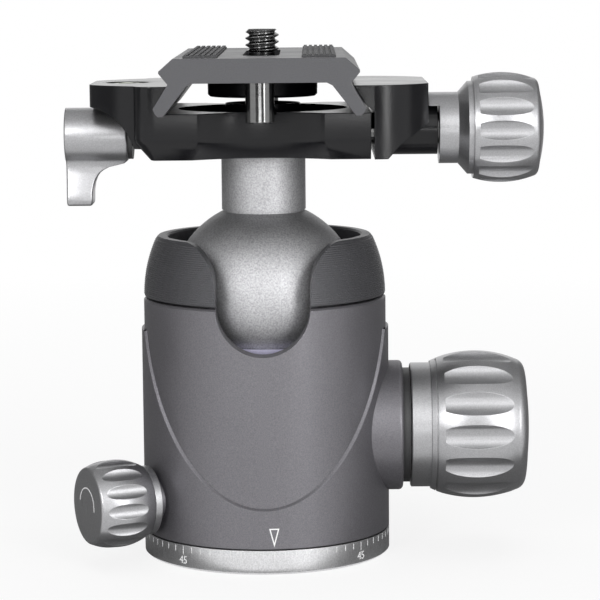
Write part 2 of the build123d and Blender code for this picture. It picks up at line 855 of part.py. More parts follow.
def bevelled_recess():
    """Cone that carries the bevel round the recess."""
    radius, centre = recess_arc()
    cone = turned([
        (0, clamp_bottom),
        (radius + clamp_inset, clamp_bottom),
        (radius, clamp_bottom + clamp_chamfer),
        (0, clamp_bottom + clamp_chamfer),
    ])
    return Pos(0, -centre, 0) * cone + Pos(0, centre, 0) * cone


def clamp_blank():
    """Wing on the left up to the clamp's top, and the lobed middle up to the channel's floor."""
    radius, centre = recess_arc()
    wing = mirror(
        clamp_outline(
            clamp_end_x, clamp_end_half, clamp_flank_x, clamp_flank_half, clamp_shoulder_x, clamp_shoulder_half
        ),
        Plane.YZ,
    )
    middle = Pos((body_right_x - clamp_lobe_x) / 2, 0)
    middle *= Rectangle(body_right_x + clamp_lobe_x, 2 * clamp_half_length)
    middle = fillet(middle.vertices().group_by(Axis.X)[0], clamp_lobe_round)
    plan = wing + middle - Pos(0, -centre) * Circle(radius) - Pos(0, centre) * Circle(radius)
    recess_end_x = recess_half_width + clamp_lobe_edge
    plan = fillet(plan.vertices().filter_by(lambda corner: abs(corner.X) < recess_end_x), clamp_lobe_edge)
    low = extrude(Pos(0, 0, clamp_bottom) * plan, clamp_floor_height)
    high = extrude(Pos(0, 0, clamp_bottom) * wing, clamp_floor_height + channel_depth)
    return (low + high) & underside_bevel()


def clamp_body():
    body = clamp_blank() - bevelled_recess() - channel_cutter()
    body -= disc(floor_pocket_radius, channel_floor - floor_pocket_depth, channel_floor)
    scoop = Cylinder(scoop_radius, 3 * clamp_half_length)
    body -= Pos(-clamp_end_x - scoop_out, 0, clamp_bottom + scoop_rise) * Rot(90, 0, 0) * scoop
    outside_x = -clamp_end_x - lever_head_depth
    head_pocket = lever_head_radius + lever_pocket_gap
    body -= rod_x(head_pocket, outside_x, lever_head_right_x + lever_pocket_gap, lever_axis_z)
    body -= rod_x(lever_washer_radius + end_gap, outside_x, lever_washer_x + running_gap, lever_axis_z)
    body -= rod_x(brake_radius + running_gap, outside_x, 0, lever_axis_z)
    body -= disc(clamp_journal_radius + running_gap, clamp_bottom, stem_disc_bottom)
    body -= disc(stem_disc_radius + end_gap, stem_disc_bottom - end_gap, channel_floor)
    body -= rod_x(
        clamp_screw_radius + running_gap, clamp_screw_tip_x - clamp_screw_room, body_right_x, clamp_axis_z
    )
    for side in (-1, 1):
        pin_y = side * guide_pin_y
        spring_x = body_right_x - guide_spring_length
        body -= rod_x(guide_pin_radius, guide_pin_start_x, body_right_x, guide_pin_z, pin_y)
        body -= rod_x(guide_spring_radius + running_gap, spring_x, body_right_x, guide_pin_z, pin_y)
    return body - Pos(level_x, 0, 0) * disc(level_radius, clamp_top - level_depth, clamp_top)


def bubble_level():
    """Round level, its window a little below the rim."""
    vial = disc(level_radius, clamp_top - level_depth, clamp_top)
    dish = disc(level_radius - level_wall, clamp_top - 0.5 * level_wall, clamp_top)
    return Pos(level_x, 0, 0) * (vial - dish)


def jaw_guide_pin(side):
    end = guide_pin_start_x + guide_pin_length
    return rod_x(guide_pin_radius, guide_pin_start_x, end, guide_pin_z, side * guide_pin_y)


def jaw_spring(side):
    start = body_right_x - guide_spring_length
    spring = rod_x(guide_spring_radius, start, body_right_x, guide_pin_z, side * guide_pin_y)
    return spring - rod_x(guide_pin_radius, start, body_right_x, guide_pin_z, side * guide_pin_y)


def jaw_profile():
    """Front view of the moving jaw: a foot, a sloping underside and the overhanging lip."""
    overhang = jaw_inner_x - channel_half
    outside_x = jaw_end_x + clamp_corner
    slope_start_x = jaw_foot_x + jaw_step_length
    return make_face(Polyline(
        (jaw_inner_x, clamp_bottom + jaw_foot_gap),
        (jaw_foot_x, clamp_bottom + jaw_foot_gap),
        (slope_start_x, clamp_bottom + jaw_step_height),
        (outside_x, clamp_bottom + jaw_slope_height),
        (outside_x, clamp_top),
        (dovetail_lip(), clamp_top),
        (channel_half, plate_flank_z),
        (jaw_inner_x, plate_flank_z - jaw_lip_fall * overhang),
        close=True,
    ))


def moving_jaw():
    jaw_flank_x = jaw_end_x - jaw_flank_in
    half_length = clamp_half_length + jaw_overhang
    plan = clamp_outline(jaw_end_x, jaw_end_half, jaw_flank_x, jaw_flank_half, jaw_inner_x, half_length)
    body = extrude(Pos(0, 0, clamp_bottom) * plan, clamp_top - clamp_bottom)
    body &= extrude(Plane.XZ * jaw_profile(), 2 * clamp_half_length, both=True)
    body += rod_x(stub_radius, jaw_foot_x - stub_length, stub_end_x, clamp_axis_z)
    body -= rod_x(clamp_screw_radius + running_gap, jaw_inner_x, stub_end_x, clamp_axis_z)
    bore_end_x = guide_pin_start_x + guide_pin_length + guide_pin_room
    for side in (-1, 1):
        body -= rod_x(guide_pin_radius + running_gap, jaw_inner_x, bore_end_x, guide_pin_z, side * guide_pin_y)
    return body


# ---------------------------------------------------------------- clamp lever


def paddle_outline():
    """Front view of the lever's paddle, hanging from the head and blended into its shoulder."""
    left = lever_head_left_x + paddle_inset
    foot_left = left + paddle_taper
    right = lever_head_left_x + paddle_width
    bottom = lever_axis_z - paddle_length
    bend = (1 - sqrt(0.5)) * paddle_round
    shoulder = lever_axis_z - lever_head_radius + paddle_taper
    blend_end = right + 1.25 * paddle_blend_radius
    return make_face([
        Line((left, lever_axis_z), (foot_left, bottom + paddle_round)),
        ThreePointArc(
            (foot_left, bottom + paddle_round),
            (foot_left + bend, bottom + bend),
            (foot_left + paddle_round, bottom),
        ),
        Line((foot_left + paddle_round, bottom), (right - paddle_round, bottom)),
        ThreePointArc(
            (right - paddle_round, bottom), (right - bend, bottom + bend), (right, bottom + paddle_round)
        ),
        Line((right, bottom + paddle_round), (right, shoulder - paddle_blend_radius)),
        ThreePointArc(
            (right, shoulder - paddle_blend_radius),
            (right + 0.3 * paddle_blend_radius, shoulder - 0.35 * paddle_blend_radius),
            (blend_end, shoulder),
        ),
        Polyline((blend_end, shoulder), (blend_end, lever_axis_z), (left, lever_axis_z)),
    ])


def clamp_lever():
    head = disc(lever_head_radius, lever_head_left_x, lever_head_right_x)
    head = fillet(head.edges().group_by(Axis.Z)[0], lever_outer_edge)
    head = fillet(head.edges().group_by(Axis.Z)[-1], lever_inner_edge)
    lever = along_x(head, lever_axis_z) + extrude(Plane.XZ * paddle_outline(), paddle_half_thickness, both=True)
    return lever - rod_x(
        lever_spindle_radius, lever_head_left_x + lever_spindle_seat, lever_head_right_x, lever_axis_z
    )


def lever_washer():
    washer = disc(lever_washer_radius, lever_head_right_x, lever_washer_x, lever_spindle_radius)
    return along_x(washer, lever_axis_z)


def lever_spindle():
    end = brake_start_x - brake_travel - running_gap
    return rod_x(lever_spindle_radius, lever_head_left_x + lever_spindle_seat, end, lever_axis_z)


def clamp_brake():
    """Pin whose hollow end bears on the stem."""
    pin = rod_x(brake_radius, brake_start_x, 0, lever_axis_z)
    return pin - disc(clamp_journal_radius + running_gap, clamp_bottom, stem_disc_bottom)


# ---------------------------------------------------------------- clamp knob


def clamp_knob_sleeve():
    """Fixed sleeve round the jaw's stub, with a tongue on top that reaches back to the jaw."""
    sleeve = disc(sleeve_radius, tongue_x, sleeve_right_x)
    hollow = disc(stub_radius + sleeve_gap, tongue_x, sleeve_left_x)
    bore = disc(clamp_screw_radius + running_gap, tongue_x, sleeve_right_x)
    below_tongue = block(
        tongue_x, sleeve_left_x, -sleeve_radius, sleeve_radius, clamp_axis_z - sleeve_radius,
        clamp_axis_z + tongue_height,
    )
    return along_x(sleeve - hollow - bore, clamp_axis_z) - below_tongue


def clamp_knob_ring():
    """Flared ring between the sleeve and the grip."""
    ring = turned([
        (clamp_screw_radius, sleeve_right_x),
        (sleeve_radius, sleeve_right_x),
        (clamp_ring_radius, clamp_cone_x),
        (clamp_ring_radius, clamp_grip_x),
        (clamp_screw_radius, clamp_grip_x),
    ])
    return along_x(ring, clamp_axis_z)


def clamp_screw_end():
    return clamp_grip_x + spindle_share * clamp_grip_length


def clamp_knob_grip():
    grip = fluted_grip(
        clamp_grip_x, clamp_grip_length, clamp_grip_left_radius, clamp_grip_radius, clamp_grip_right_radius,
        clamp_grip_edge, clamp_dome_height, clamp_flute_radius, clamp_flute_depth, clamp_screw_radius,
        clamp_screw_end(),
    )
    return along_x(grip, clamp_axis_z)


def clamp_screw():
    return rod_x(clamp_screw_radius, clamp_screw_tip_x, clamp_screw_end(), clamp_axis_z)


# ---------------------------------------------------------------- quick-release plate


def plate_half_outline():
    """Right half of the plate's section, from the middle of its top round to the middle of the web."""
    foot = plate_bottom_half - plate_foot_bevel
    return [
        (0, plate_top),
        (plate_top_half, plate_top),
        (plate_tip_half, plate_tip_z + plate_tip_land),
        (plate_tip_half, plate_tip_z),
        (plate_notch_half, plate_notch_z),
        (plate_bottom_half, plate_flank_z),
        (plate_bottom_half - 0.4 * plate_foot_bevel, plate_bottom + 0.6 * plate_foot_bevel),
        (foot, plate_bottom),
        (leg_foot_inner, plate_bottom),
        (leg_root_inner + leg_root_bevel, web_bottom - leg_root_bevel),
        (leg_root_inner - leg_root_bevel, web_bottom),
        (0, web_bottom),
    ]


def pad_block(side, bottom, top):
    """Bar that fills the pad's seat, between two heights."""
    inner = side * pad_inner_x
    outer = side * pad_outer_x
    return block(min(inner, outer), max(inner, outer), -pad_length / 2, pad_length / 2, bottom, top)


def qr_plate():
    right = plate_half_outline()
    left = [(-x, z) for x, z in reversed(right) if x > 0]
    profile = make_face(Polyline(*(right + left), close=True))
    plate = extrude(Plane.XZ * profile, plate_length / 2, both=True)
    slot = SlotOverall(plate_slot_length, 2 * plate_slot_half, rotation=90)
    plate -= Pos(0, 0, web_bottom) * extrude(slot, web_thickness)
    for side in (-1, 1):
        plate -= pad_block(side, plate_top - pad_seat, plate_top)
        plate -= Pos(0, side * stop_pin_y, 0) * stop_spigot()
    return plate


def pad(side):
    """Rubber pad with ribs that run front to back."""
    pitch = (pad_outer_x - pad_inner_x) / pad_rib_count
    body = pad_block(side, plate_top - pad_seat, plate_top + pad_proud - pad_rib_height)
    for index in range(pad_rib_count):
        centre = side * (pad_inner_x + (index + 0.5) * pitch)
        half = 0.5 * pad_rib_share * pitch
        body += block(
            centre - half, centre + half, -pad_length / 2, pad_length / 2,
            plate_top - pad_seat, plate_top + pad_proud,
        )
    return body


def stop_spigot():
    return disc(stop_spigot_radius, web_bottom, web_bottom + stop_spigot_length)


def stop_pin(side):
    """Pin under the plate that stops it from sliding out of the clamp."""
    pin = disc(stop_pin_radius, stop_pin_bottom, web_bottom)
    pin = chamfer(pin.edges().group_by(Axis.Z)[0], stop_pin_edge)
    return Pos(0, side * stop_pin_y, 0) * (pin + stop_spigot())


# ---------------------------------------------------------------- camera screw


def camera_screw():
    """Coin-slotted screw with a thinner shank inside the plate's slot."""
    head_top = web_bottom - screw_head_gap
    head_bottom = head_top - screw_head_thickness
    head = disc(screw_head_radius, head_bottom, head_top)
    head = chamfer(head.edges(), screw_head_edge)
    thread_start = plate_top + camera_thread_gap
    shank = disc(camera_shank_radius, head_top, thread_start)
    thread = disc(camera_thread_radius, thread_start, plate_top + camera_thread_height)
    thread = chamfer(thread.edges().group_by(Axis.Z)[-1], camera_thread_edge)
    coin_slot = block(
        -screw_head_radius, screw_head_radius, -coin_slot_width / 2, coin_slot_width / 2,
        head_bottom, head_bottom + coin_slot_depth,
    )
    return head + shank + thread - coin_slot


# ---------------------------------------------------------------- assembly

pieces = {
    "pan_base": pan_base(),
    "tripod_bush": tripod_bush(),
    "pan_retainer": pan_retainer(),
    "pan_washer": pan_washer(),
    "barrel": barrel(),
    "collar": collar(),
    "friction_ring": friction_ring(),
    "lock_block": lock_block(),
    "cup_spring": cup_spring(),
    "main_knob_spacer": main_knob_spacer(),
    "spindle_bush": spindle_bush(),
    "pan_knob_bush": pan_knob_bush(),
    "lock_plunger": lock_plunger(),
    "ball_cup": ball_cup(),
    "slip_liner": slip_liner(),
    "main_knob_spindle": main_knob_spindle(),
    "main_knob_sleeve": main_knob_sleeve(),
    "main_knob_grip": main_knob_grip(),
    "main_knob_cap": main_knob_cap(),
    "pan_knob_ring": pan_knob_ring(),
    "pan_knob_grip": pan_knob_grip(),
    "pan_knob_spindle": pan_knob_spindle(),
    "pan_brake_shoe": pan_brake_shoe(),
    "ball_and_stem": ball_and_stem(),
    "stem_washer": stem_washer(),
    "stem_retainer": stem_retainer(),
    "stem_screw": stem_screw(),
    "clamp_body": clamp_body(),
    "bubble_level": bubble_level(),
    "moving_jaw": moving_jaw(),
    "clamp_lever": clamp_lever(),
    "lever_washer": lever_washer(),
    "lever_spindle": lever_spindle(),
    "clamp_brake": clamp_brake(),
    "clamp_knob_sleeve": clamp_knob_sleeve(),
    "clamp_knob_ring": clamp_knob_ring(),
    "clamp_knob_grip": clamp_knob_grip(),
    "clamp_screw": clamp_screw(),
    "qr_plate": qr_plate(),
    "pad_left": pad(-1),
    "pad_right": pad(1),
    "front_stop_pin": stop_pin(-1),
    "rear_stop_pin": stop_pin(1),
    "camera_screw": camera_screw(),
}
for number, angle in enumerate(range(0, 360, 120), start=1):
    pieces[f"retainer_screw_{number}"] = retainer_screw(angle)
for number, side in enumerate((-1, 1), start=1):
    pieces[f"jaw_guide_pin_{number}"] = jaw_guide_pin(side)
    pieces[f"jaw_spring_{number}"] = jaw_spring(side)

os.makedirs("parts", exist_ok=True)
for name, piece in pieces.items():
    export_step(piece, f"parts/{name}.step")
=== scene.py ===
import json
import math

import bmesh
import bpy
from mathutils import Matrix, Vector

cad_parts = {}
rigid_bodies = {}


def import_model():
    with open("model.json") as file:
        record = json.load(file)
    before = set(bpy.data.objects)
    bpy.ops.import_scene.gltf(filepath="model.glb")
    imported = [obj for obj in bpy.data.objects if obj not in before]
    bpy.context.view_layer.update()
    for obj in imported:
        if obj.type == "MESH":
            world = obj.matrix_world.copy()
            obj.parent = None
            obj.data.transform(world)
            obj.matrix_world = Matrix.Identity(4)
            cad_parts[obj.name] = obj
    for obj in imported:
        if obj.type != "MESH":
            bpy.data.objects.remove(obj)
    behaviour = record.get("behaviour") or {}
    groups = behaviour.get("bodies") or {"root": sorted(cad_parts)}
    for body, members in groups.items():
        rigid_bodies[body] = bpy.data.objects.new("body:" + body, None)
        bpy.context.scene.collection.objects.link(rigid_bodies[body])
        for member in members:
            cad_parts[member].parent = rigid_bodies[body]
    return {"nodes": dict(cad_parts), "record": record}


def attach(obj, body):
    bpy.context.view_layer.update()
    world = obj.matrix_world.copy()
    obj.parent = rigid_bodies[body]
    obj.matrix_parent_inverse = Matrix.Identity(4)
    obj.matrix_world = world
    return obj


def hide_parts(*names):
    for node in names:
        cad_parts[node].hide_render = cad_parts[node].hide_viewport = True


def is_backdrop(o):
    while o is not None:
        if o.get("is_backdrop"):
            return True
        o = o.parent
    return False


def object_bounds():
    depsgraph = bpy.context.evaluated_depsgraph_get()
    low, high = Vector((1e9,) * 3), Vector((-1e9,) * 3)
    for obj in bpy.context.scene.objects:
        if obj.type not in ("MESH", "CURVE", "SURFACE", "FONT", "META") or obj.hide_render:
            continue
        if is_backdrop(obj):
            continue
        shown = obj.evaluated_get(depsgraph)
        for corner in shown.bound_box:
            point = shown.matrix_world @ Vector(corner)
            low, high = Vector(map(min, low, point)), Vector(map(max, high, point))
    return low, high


for leftover in list(bpy.data.objects):
    bpy.data.objects.remove(leftover)

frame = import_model()
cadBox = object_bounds()
cadNodes = frame["nodes"]
mm = 0.001


def addObject(name, data):
    thing = bpy.data.objects.new(name, data)
    bpy.context.scene.collection.objects.link(thing)
    return thing


# the camera stands on a circle round the head's axis, turn is measured from straight in front
camera = {
    "distance": 484.52, "height": 110.99, "nearest": 10.0,
    "turn": 1.1, "aimBeside": 0.796, "pitch": 7.391, "roll": -0.516,
    "lens": 153.0, "sensor": 36.0,
}


def addCamera(look):
    turn = math.radians(look["turn"])
    yaw = math.radians(look["aimBeside"]) - turn
    pitch = math.radians(look["pitch"])
    roll = math.radians(look["roll"])
    distance = look["distance"]
    place = Vector((distance * math.sin(turn), -distance * math.cos(turn), look["height"])) * mm
    ahead = Vector((
        math.cos(pitch) * math.sin(yaw),
        math.cos(pitch) * math.cos(yaw),
        -math.sin(pitch),
    ))
    level = Vector((math.cos(yaw), -math.sin(yaw), 0))
    upright = level.cross(ahead)
    right = math.cos(roll) * level + math.sin(roll) * upright
    up = math.cos(roll) * upright - math.sin(roll) * level
    lens = bpy.data.cameras.new("camera")
    lens.lens = look["lens"]
    lens.sensor_width = look["sensor"]
    lens.clip_start = look["nearest"] * mm
    body = addObject("camera", lens)
    body.matrix_world = Matrix((
        (right.x, up.x, -ahead.x, place.x),
        (right.y, up.y, -ahead.y, place.y),
        (right.z, up.z, -ahead.z, place.z),
        (0, 0, 0, 1),
    ))
    bpy.context.scene.camera = body


addCamera(camera)
print("camera set")


studio = {
    "ambient": 0.36,            # strength of the soft light from all round
    "floorRadius": 4.0,         # metres
    "floorSides": 96,
    "floorDrop": 0.05,          # mm that it lies under the head
    "floorColour": (0.90, 0.90, 0.90),
    "floorRough": 0.9,
    "floorGlow": (0.82, 1.0),   # share of the floor that is plain white to the camera, near and far
    "glowReach": (0.10, 0.45),  # distances from the head where those two hold
}
# softboxes: where they hang, how large they are in metres, and their watts
softboxes = {
    "key": {"place": (0.08, -1.15, 0.22), "size": (1.9, 1.6), "power": 7.0},
    "leftStrip": {"place": (-0.50, -1.05, 0.26), "size": (0.28, 0.9), "power": 7.0},
    "rightStrip": {"place": (0.66, -0.98, 0.26), "size": (0.28, 0.9), "power": 7.0},
    "low": {"place": (0.02, -0.56, 0.045), "size": (0.20, 0.03), "power": 0.15},
    "top": {"place": (0.0, 0.15, 1.2), "size": (1.0, 0.8), "power": 5.0},
}
# dark cards that give the turned metal its dark edges, seen by reflections alone
cards = {
    "left": {"place": (-0.47, 0.25, 0.2), "size": (0.9, 0.9), "facing": (0, 0, 0.2), "shade": 0.2},
    "right": {"place": (0.47, 0.25, 0.2), "size": (0.9, 0.9), "facing": (0, 0, 0.2), "shade": 0.2},
    "lid": {"place": (0.0, 0.16, 0.66), "size": (1.1, 0.9), "facing": (0, 0.1, 0), "shade": 0.4},
    "front": {"place": (0.0, -0.85, 0.1), "size": (1.1, 0.2), "facing": (0, 0, 0.1), "shade": 0.02},
    "mat": {"place": (0, 0.225, 0.0004), "size": (1.0, 0.5), "facing": (0, 0.225, 1), "shade": 0.2},
}
aim = Vector((0, 0, 0.05))


def addNode(tree, kind, **settings):
    node = tree.nodes.new(kind)
    for key, value in settings.items():
        setattr(node, key, value)
    return node


def seenDirectly(tree):
    # 1 for camera, glossy and transmission rays, 0 for the soft light that reaches the surfaces
    path = addNode(tree, "ShaderNodeLightPath")
    seen = path.outputs["Is Camera Ray"]
    for ray in ("Is Glossy Ray", "Is Transmission Ray"):
        either = addNode(tree, "ShaderNodeMath", operation="MAXIMUM")
        tree.links.new(seen, either.inputs[0])
        tree.links.new(path.outputs[ray], either.inputs[1])
        seen = either.outputs[0]
    return seen


def mixShaders(tree, share, first, second):
    both = addNode(tree, "ShaderNodeMixShader")
    tree.links.new(share, both.inputs[0])
    tree.links.new(first.outputs[0], both.inputs[1])
    tree.links.new(second.outputs[0], both.inputs[2])
    return both.outputs[0]


def addWorld(look):
    world = bpy.data.worlds.new("studio")
    world.use_nodes = True
    tree = world.node_tree
    tree.nodes.clear()
    soft = addNode(tree, "ShaderNodeBackground")
    soft.inputs["Strength"].default_value = look["ambient"]
    white = addNode(tree, "ShaderNodeBackground")
    white.inputs["Strength"].default_value = 1.0
    for background in (soft, white):
        background.inputs["Color"].default_value = (1, 1, 1, 1)
    output = addNode(tree, "ShaderNodeOutputWorld")
    mixed = mixShaders(tree, seenDirectly(tree), soft, white)
    tree.links.new(mixed, output.inputs["Surface"])
    bpy.context.scene.world = world


def pointAt(thing, place, target):
    thing.location = place
    ahead = Vector(target) - Vector(place)
    thing.rotation_euler = ahead.to_track_quat("-Z", "Y").to_euler()


def addSoftbox(name, look):
    light = bpy.data.lights.new(name, "AREA")
    light.shape = "RECTANGLE"
    light.size, light.size_y = look["size"]
    light.energy = look["power"]
    pointAt(addObject(name, light), look["place"], aim)


def addCard(name, look):
    width, height = look["size"]
    corners = [(-width / 2, -height / 2, 0), (width / 2, -height / 2, 0),
               (width / 2, height / 2, 0), (-width / 2, height / 2, 0)]
    mesh = bpy.data.meshes.new(name)
    mesh.from_pydata(corners, [], [(0, 1, 2, 3)])
    card = addObject(name, mesh)
    pointAt(card, look["place"], look["facing"])
    card.visible_camera = False
    card.visible_shadow = False
    card.visible_diffuse = False
    dark = bpy.data.materials.new("card_" + name)
    dark.use_nodes = True
    shader = dark.node_tree.nodes["Principled BSDF"]
    shade = look["shade"]
    shader.inputs["Base Color"].default_value = (shade, shade, shade, 1)
    shader.inputs["Roughness"].default_value = 1.0
    mesh.materials.append(dark)
    card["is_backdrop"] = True


def fullTurn(steps):
    return [2 * math.pi * step / steps for step in range(steps)]


def addFloor(look):
    radius, sides = look["floorRadius"], look["floorSides"]
    rim = [(radius * math.cos(a), radius * math.sin(a), 0) for a in fullTurn(sides)]
    mesh = bpy.data.meshes.new("floor")
    mesh.from_pydata(rim, [], [tuple(range(sides))])
    floor = addObject("floor", mesh)
    floor.location.z = -look["floorDrop"] * mm
    paper = bpy.data.materials.new("paper")
    paper.use_nodes = True
    tree = paper.node_tree
    matt = tree.nodes["Principled BSDF"]
    matt.inputs["Base Color"].default_value = (*look["floorColour"], 1)
    matt.inputs["Roughness"].default_value = look["floorRough"]
    matt.inputs["Specular IOR Level"].default_value = 0.0
    glow = addNode(tree, "ShaderNodeEmission")
    spot = addNode(tree, "ShaderNodeTexCoord")
    distance = addNode(tree, "ShaderNodeVectorMath", operation="LENGTH")
    tree.links.new(spot.outputs["Object"], distance.inputs[0])
    reach = addNode(tree, "ShaderNodeMapRange")
    near, far = look["glowReach"]
    reach.inputs["From Min"].default_value = near
    reach.inputs["From Max"].default_value = far
    nearGlow, farGlow = look["floorGlow"]
    reach.inputs["To Min"].default_value = nearGlow
    reach.inputs["To Max"].default_value = farGlow
    tree.links.new(distance.outputs["Value"], reach.inputs["Value"])
    share = addNode(tree, "ShaderNodeMath", operation="MULTIPLY")
    tree.links.new(seenDirectly(tree), share.inputs[0])
    tree.links.new(reach.outputs["Result"], share.inputs[1])
    mixed = mixShaders(tree, share.outputs[0], matt, glow)
    tree.links.new(mixed, tree.nodes["Material Output"].inputs["Surface"])
    mesh.materials.append(paper)
    floor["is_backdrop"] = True


addWorld(studio)
for name, look in softboxes.items():
    addSoftbox(name, look)
for name, look in cards.items():
    addCard(name, look)
addFloor(studio)
bpy.context.scene.view_settings.view_transform = "Standard"
print("studio:", len(softboxes), "softboxes,", len(cards), "cards")


# colour: middle colour; spread: lighter and darker grain; grain: its size in mm; depth: its bump
# in mm; cloud: slow change of roughness; edge: how round the edges look, in mm;
# gloss: shine of what isn't metal; stretch: pulls the grain out into turning lines
finishes = {
    "blastedGunmetal": {
        "colour": (0.150, 0.146, 0.158), "spread": 0.16, "grain": 0.22, "depth": 0.006,
        "rough": 0.42, "cloud": 0.05, "metal": 0.7, "edge": 0.12,
    },
    "ringedDark": {
        "colour": (0.080, 0.080, 0.086), "spread": 0.14, "grain": 0.2, "depth": 0.004,
        "rough": 0.40, "cloud": 0.05, "metal": 0.6, "edge": 0.1,
    },
    "blackAnodise": {
        "colour": (0.004, 0.004, 0.005), "spread": 0.25, "grain": 0.22, "depth": 0.012,
        "rough": 0.19, "cloud": 0.03, "metal": 0.0, "edge": 0.3, "gloss": 0.34,
    },
    "greyPlate": {
        "colour": (0.085, 0.085, 0.090), "spread": 0.12, "grain": 0.2, "depth": 0.004,
        "rough": 0.40, "cloud": 0.05, "metal": 0.75, "edge": 0.12,
    },
    "blastedBall": {
        "colour": (0.40, 0.40, 0.41), "spread": 0.22, "grain": 0.3, "depth": 0.012,
        "rough": 0.54, "cloud": 0.05, "metal": 1.0, "edge": 0.08,
    },
    "satinSilver": {
        "colour": (0.39, 0.39, 0.40), "spread": 0.12, "grain": 0.22, "depth": 0.006,
        "rough": 0.33, "cloud": 0.05, "metal": 0.95, "edge": 0.12,
    },
    "satinRing": {
        "colour": (0.64, 0.64, 0.65), "spread": 0.14, "grain": 0.26, "depth": 0.008,
        "rough": 0.33, "cloud": 0.04, "metal": 1.0, "edge": 0.1,
    },
    "turnedSteel": {
        "colour": (0.19, 0.19, 0.19), "spread": 0.12, "grain": 0.12, "depth": 0.003,
        "rough": 0.14, "cloud": 0.03, "metal": 1.0, "edge": 0.08, "stretch": (0.15, 0.15, 1.0),
    },
    "turnedBrass": {
        "colour": (0.66, 0.47, 0.20), "spread": 0.1, "grain": 0.12, "depth": 0.003,
        "rough": 0.28, "cloud": 0.05, "metal": 1.0, "edge": 0.08, "stretch": (0.15, 0.15, 1.0),
    },
    "ribbedRubber": {
        "colour": (0.045, 0.045, 0.048), "spread": 0.3, "grain": 0.35, "depth": 0.02,
        "rough": 0.68, "cloud": 0.08, "metal": 0.0, "edge": 0.1,
    },
    "blackAcetal": {
        "colour": (0.025, 0.025, 0.026), "spread": 0.2, "grain": 0.3, "depth": 0.006,
        "rough": 0.45, "cloud": 0.05, "metal": 0.0, "edge": 0.1,
    },
    "paleLiner": {
        "colour": (0.52, 0.50, 0.66), "spread": 0.06, "grain": 0.4, "depth": 0.003,
        "rough": 0.34, "cloud": 0.05, "metal": 0.0, "edge": 0.1,
    },
    "levelBlack": {
        "colour": (0.03, 0.03, 0.032), "spread": 0.1, "grain": 0.3, "depth": 0.002,
        "rough": 0.25, "cloud": 0.05, "metal": 0.0, "edge": 0.15,
    },
    "levelLiquid": {
        "colour": (0.30, 0.36, 0.10), "spread": 0.05, "grain": 0.6, "depth": 0.001,
        "rough": 0.08, "cloud": 0.02, "metal": 0.0, "edge": 0.0, "gloss": 0.7,
    },
    "levelBubble": {
        "colour": (0.52, 0.58, 0.30), "spread": 0.05, "grain": 0.6, "depth": 0.001,
        "rough": 0.06, "cloud": 0.02, "metal": 0.0, "edge": 0.0, "gloss": 0.8,
    },
    "whitePrint": {
        "colour": (0.70, 0.70, 0.70), "spread": 0.05, "grain": 0.15, "depth": 0.002,
        "rough": 0.55, "cloud": 0.05, "metal": 0.0, "edge": 0.0,
    },
}
# the same for every finish: size of the slow clouds in mm, how fine both noises are,
# and the two values that most of a noise lies between
texture = {
    "cloudSize": 9.0, "grainDetail": 2, "cloudDetail": 3, "noiseLow": 0.3, "noiseHigh": 0.7,
    "gloss": 0.5, "edgeSamples": 6,
}
# which finish each material slot of the record gets
slotFinish = {
    "barrel_anodise": "blastedGunmetal", "collar_anodise": "ringedDark",
    "black_anodise": "blackAnodise", "plate_anodise": "greyPlate",
    "ball_anodise": "blastedBall", "silver_anodise": "satinSilver",
    "base_anodise": "satinRing", "steel": "turnedSteel", "brass": "turnedBrass",
    "rubber": "ribbedRubber", "black_plastic": "blackAcetal",
    "pale_plastic": "paleLiner", "level_plastic": "levelBlack",
}


def addNoise(tree, place, size, detail, stretch=(1, 1, 1)):
    mapping = addNode(tree, "ShaderNodeMapping")
    mapping.inputs["Scale"].default_value = stretch
    noise = addNode(tree, "ShaderNodeTexNoise")
    noise.inputs["Scale"].default_value = 1 / (size * mm)
    noise.inputs["Detail"].default_value = detail
    tree.links.new(place, mapping.inputs["Vector"])
    tree.links.new(mapping.outputs["Vector"], noise.inputs["Vector"])
    return noise.outputs["Fac"]


def spreadOver(tree, factor, low, high):
    spread = addNode(tree, "ShaderNodeMapRange")
    spread.inputs["From Min"].default_value = texture["noiseLow"]
    spread.inputs["From Max"].default_value = texture["noiseHigh"]
    spread.inputs["To Min"].default_value = low
    spread.inputs["To Max"].default_value = high
    tree.links.new(factor, spread.inputs["Value"])
    return spread.outputs["Result"]


def makeFinish(name, look):
    material = bpy.data.materials.new(name)
    material.use_nodes = True
    tree = material.node_tree
    shader = tree.nodes["Principled BSDF"]
    place = addNode(tree, "ShaderNodeTexCoord").outputs["Object"]
    stretch = look.get("stretch", (1, 1, 1))
    fine = addNoise(tree, place, look["grain"], texture["grainDetail"], stretch)
    slow = addNoise(tree, place, texture["cloudSize"], texture["cloudDetail"])
    colours = addNode(tree, "ShaderNodeMix", data_type="RGBA")
    dark = [c * (1 - look["spread"]) for c in look["colour"]]
    light = [c * (1 + look["spread"]) for c in look["colour"]]
    colours.inputs["A"].default_value = (*dark, 1)
    colours.inputs["B"].default_value = (*light, 1)
    tree.links.new(spreadOver(tree, fine, 0, 1), colours.inputs["Factor"])
    tree.links.new(colours.outputs["Result"], shader.inputs["Base Color"])
    shader.inputs["Metallic"].default_value = look["metal"]
    shader.inputs["Specular IOR Level"].default_value = look.get("gloss", texture["gloss"])
    rough = spreadOver(tree, slow, look["rough"] - look["cloud"], look["rough"] + look["cloud"])
    tree.links.new(rough, shader.inputs["Roughness"])
    bump = addNode(tree, "ShaderNodeBump")
    bump.inputs["Distance"].default_value = look["depth"] * mm
    tree.links.new(fine, bump.inputs["Height"])
    if look["edge"] > 0:
        soft = addNode(tree, "ShaderNodeBevel", samples=texture["edgeSamples"])
        soft.inputs["Radius"].default_value = look["edge"] * mm
        tree.links.new(soft.outputs["Normal"], bump.inputs["Normal"])
    tree.links.new(bump.outputs["Normal"], shader.inputs["Normal"])
    return material


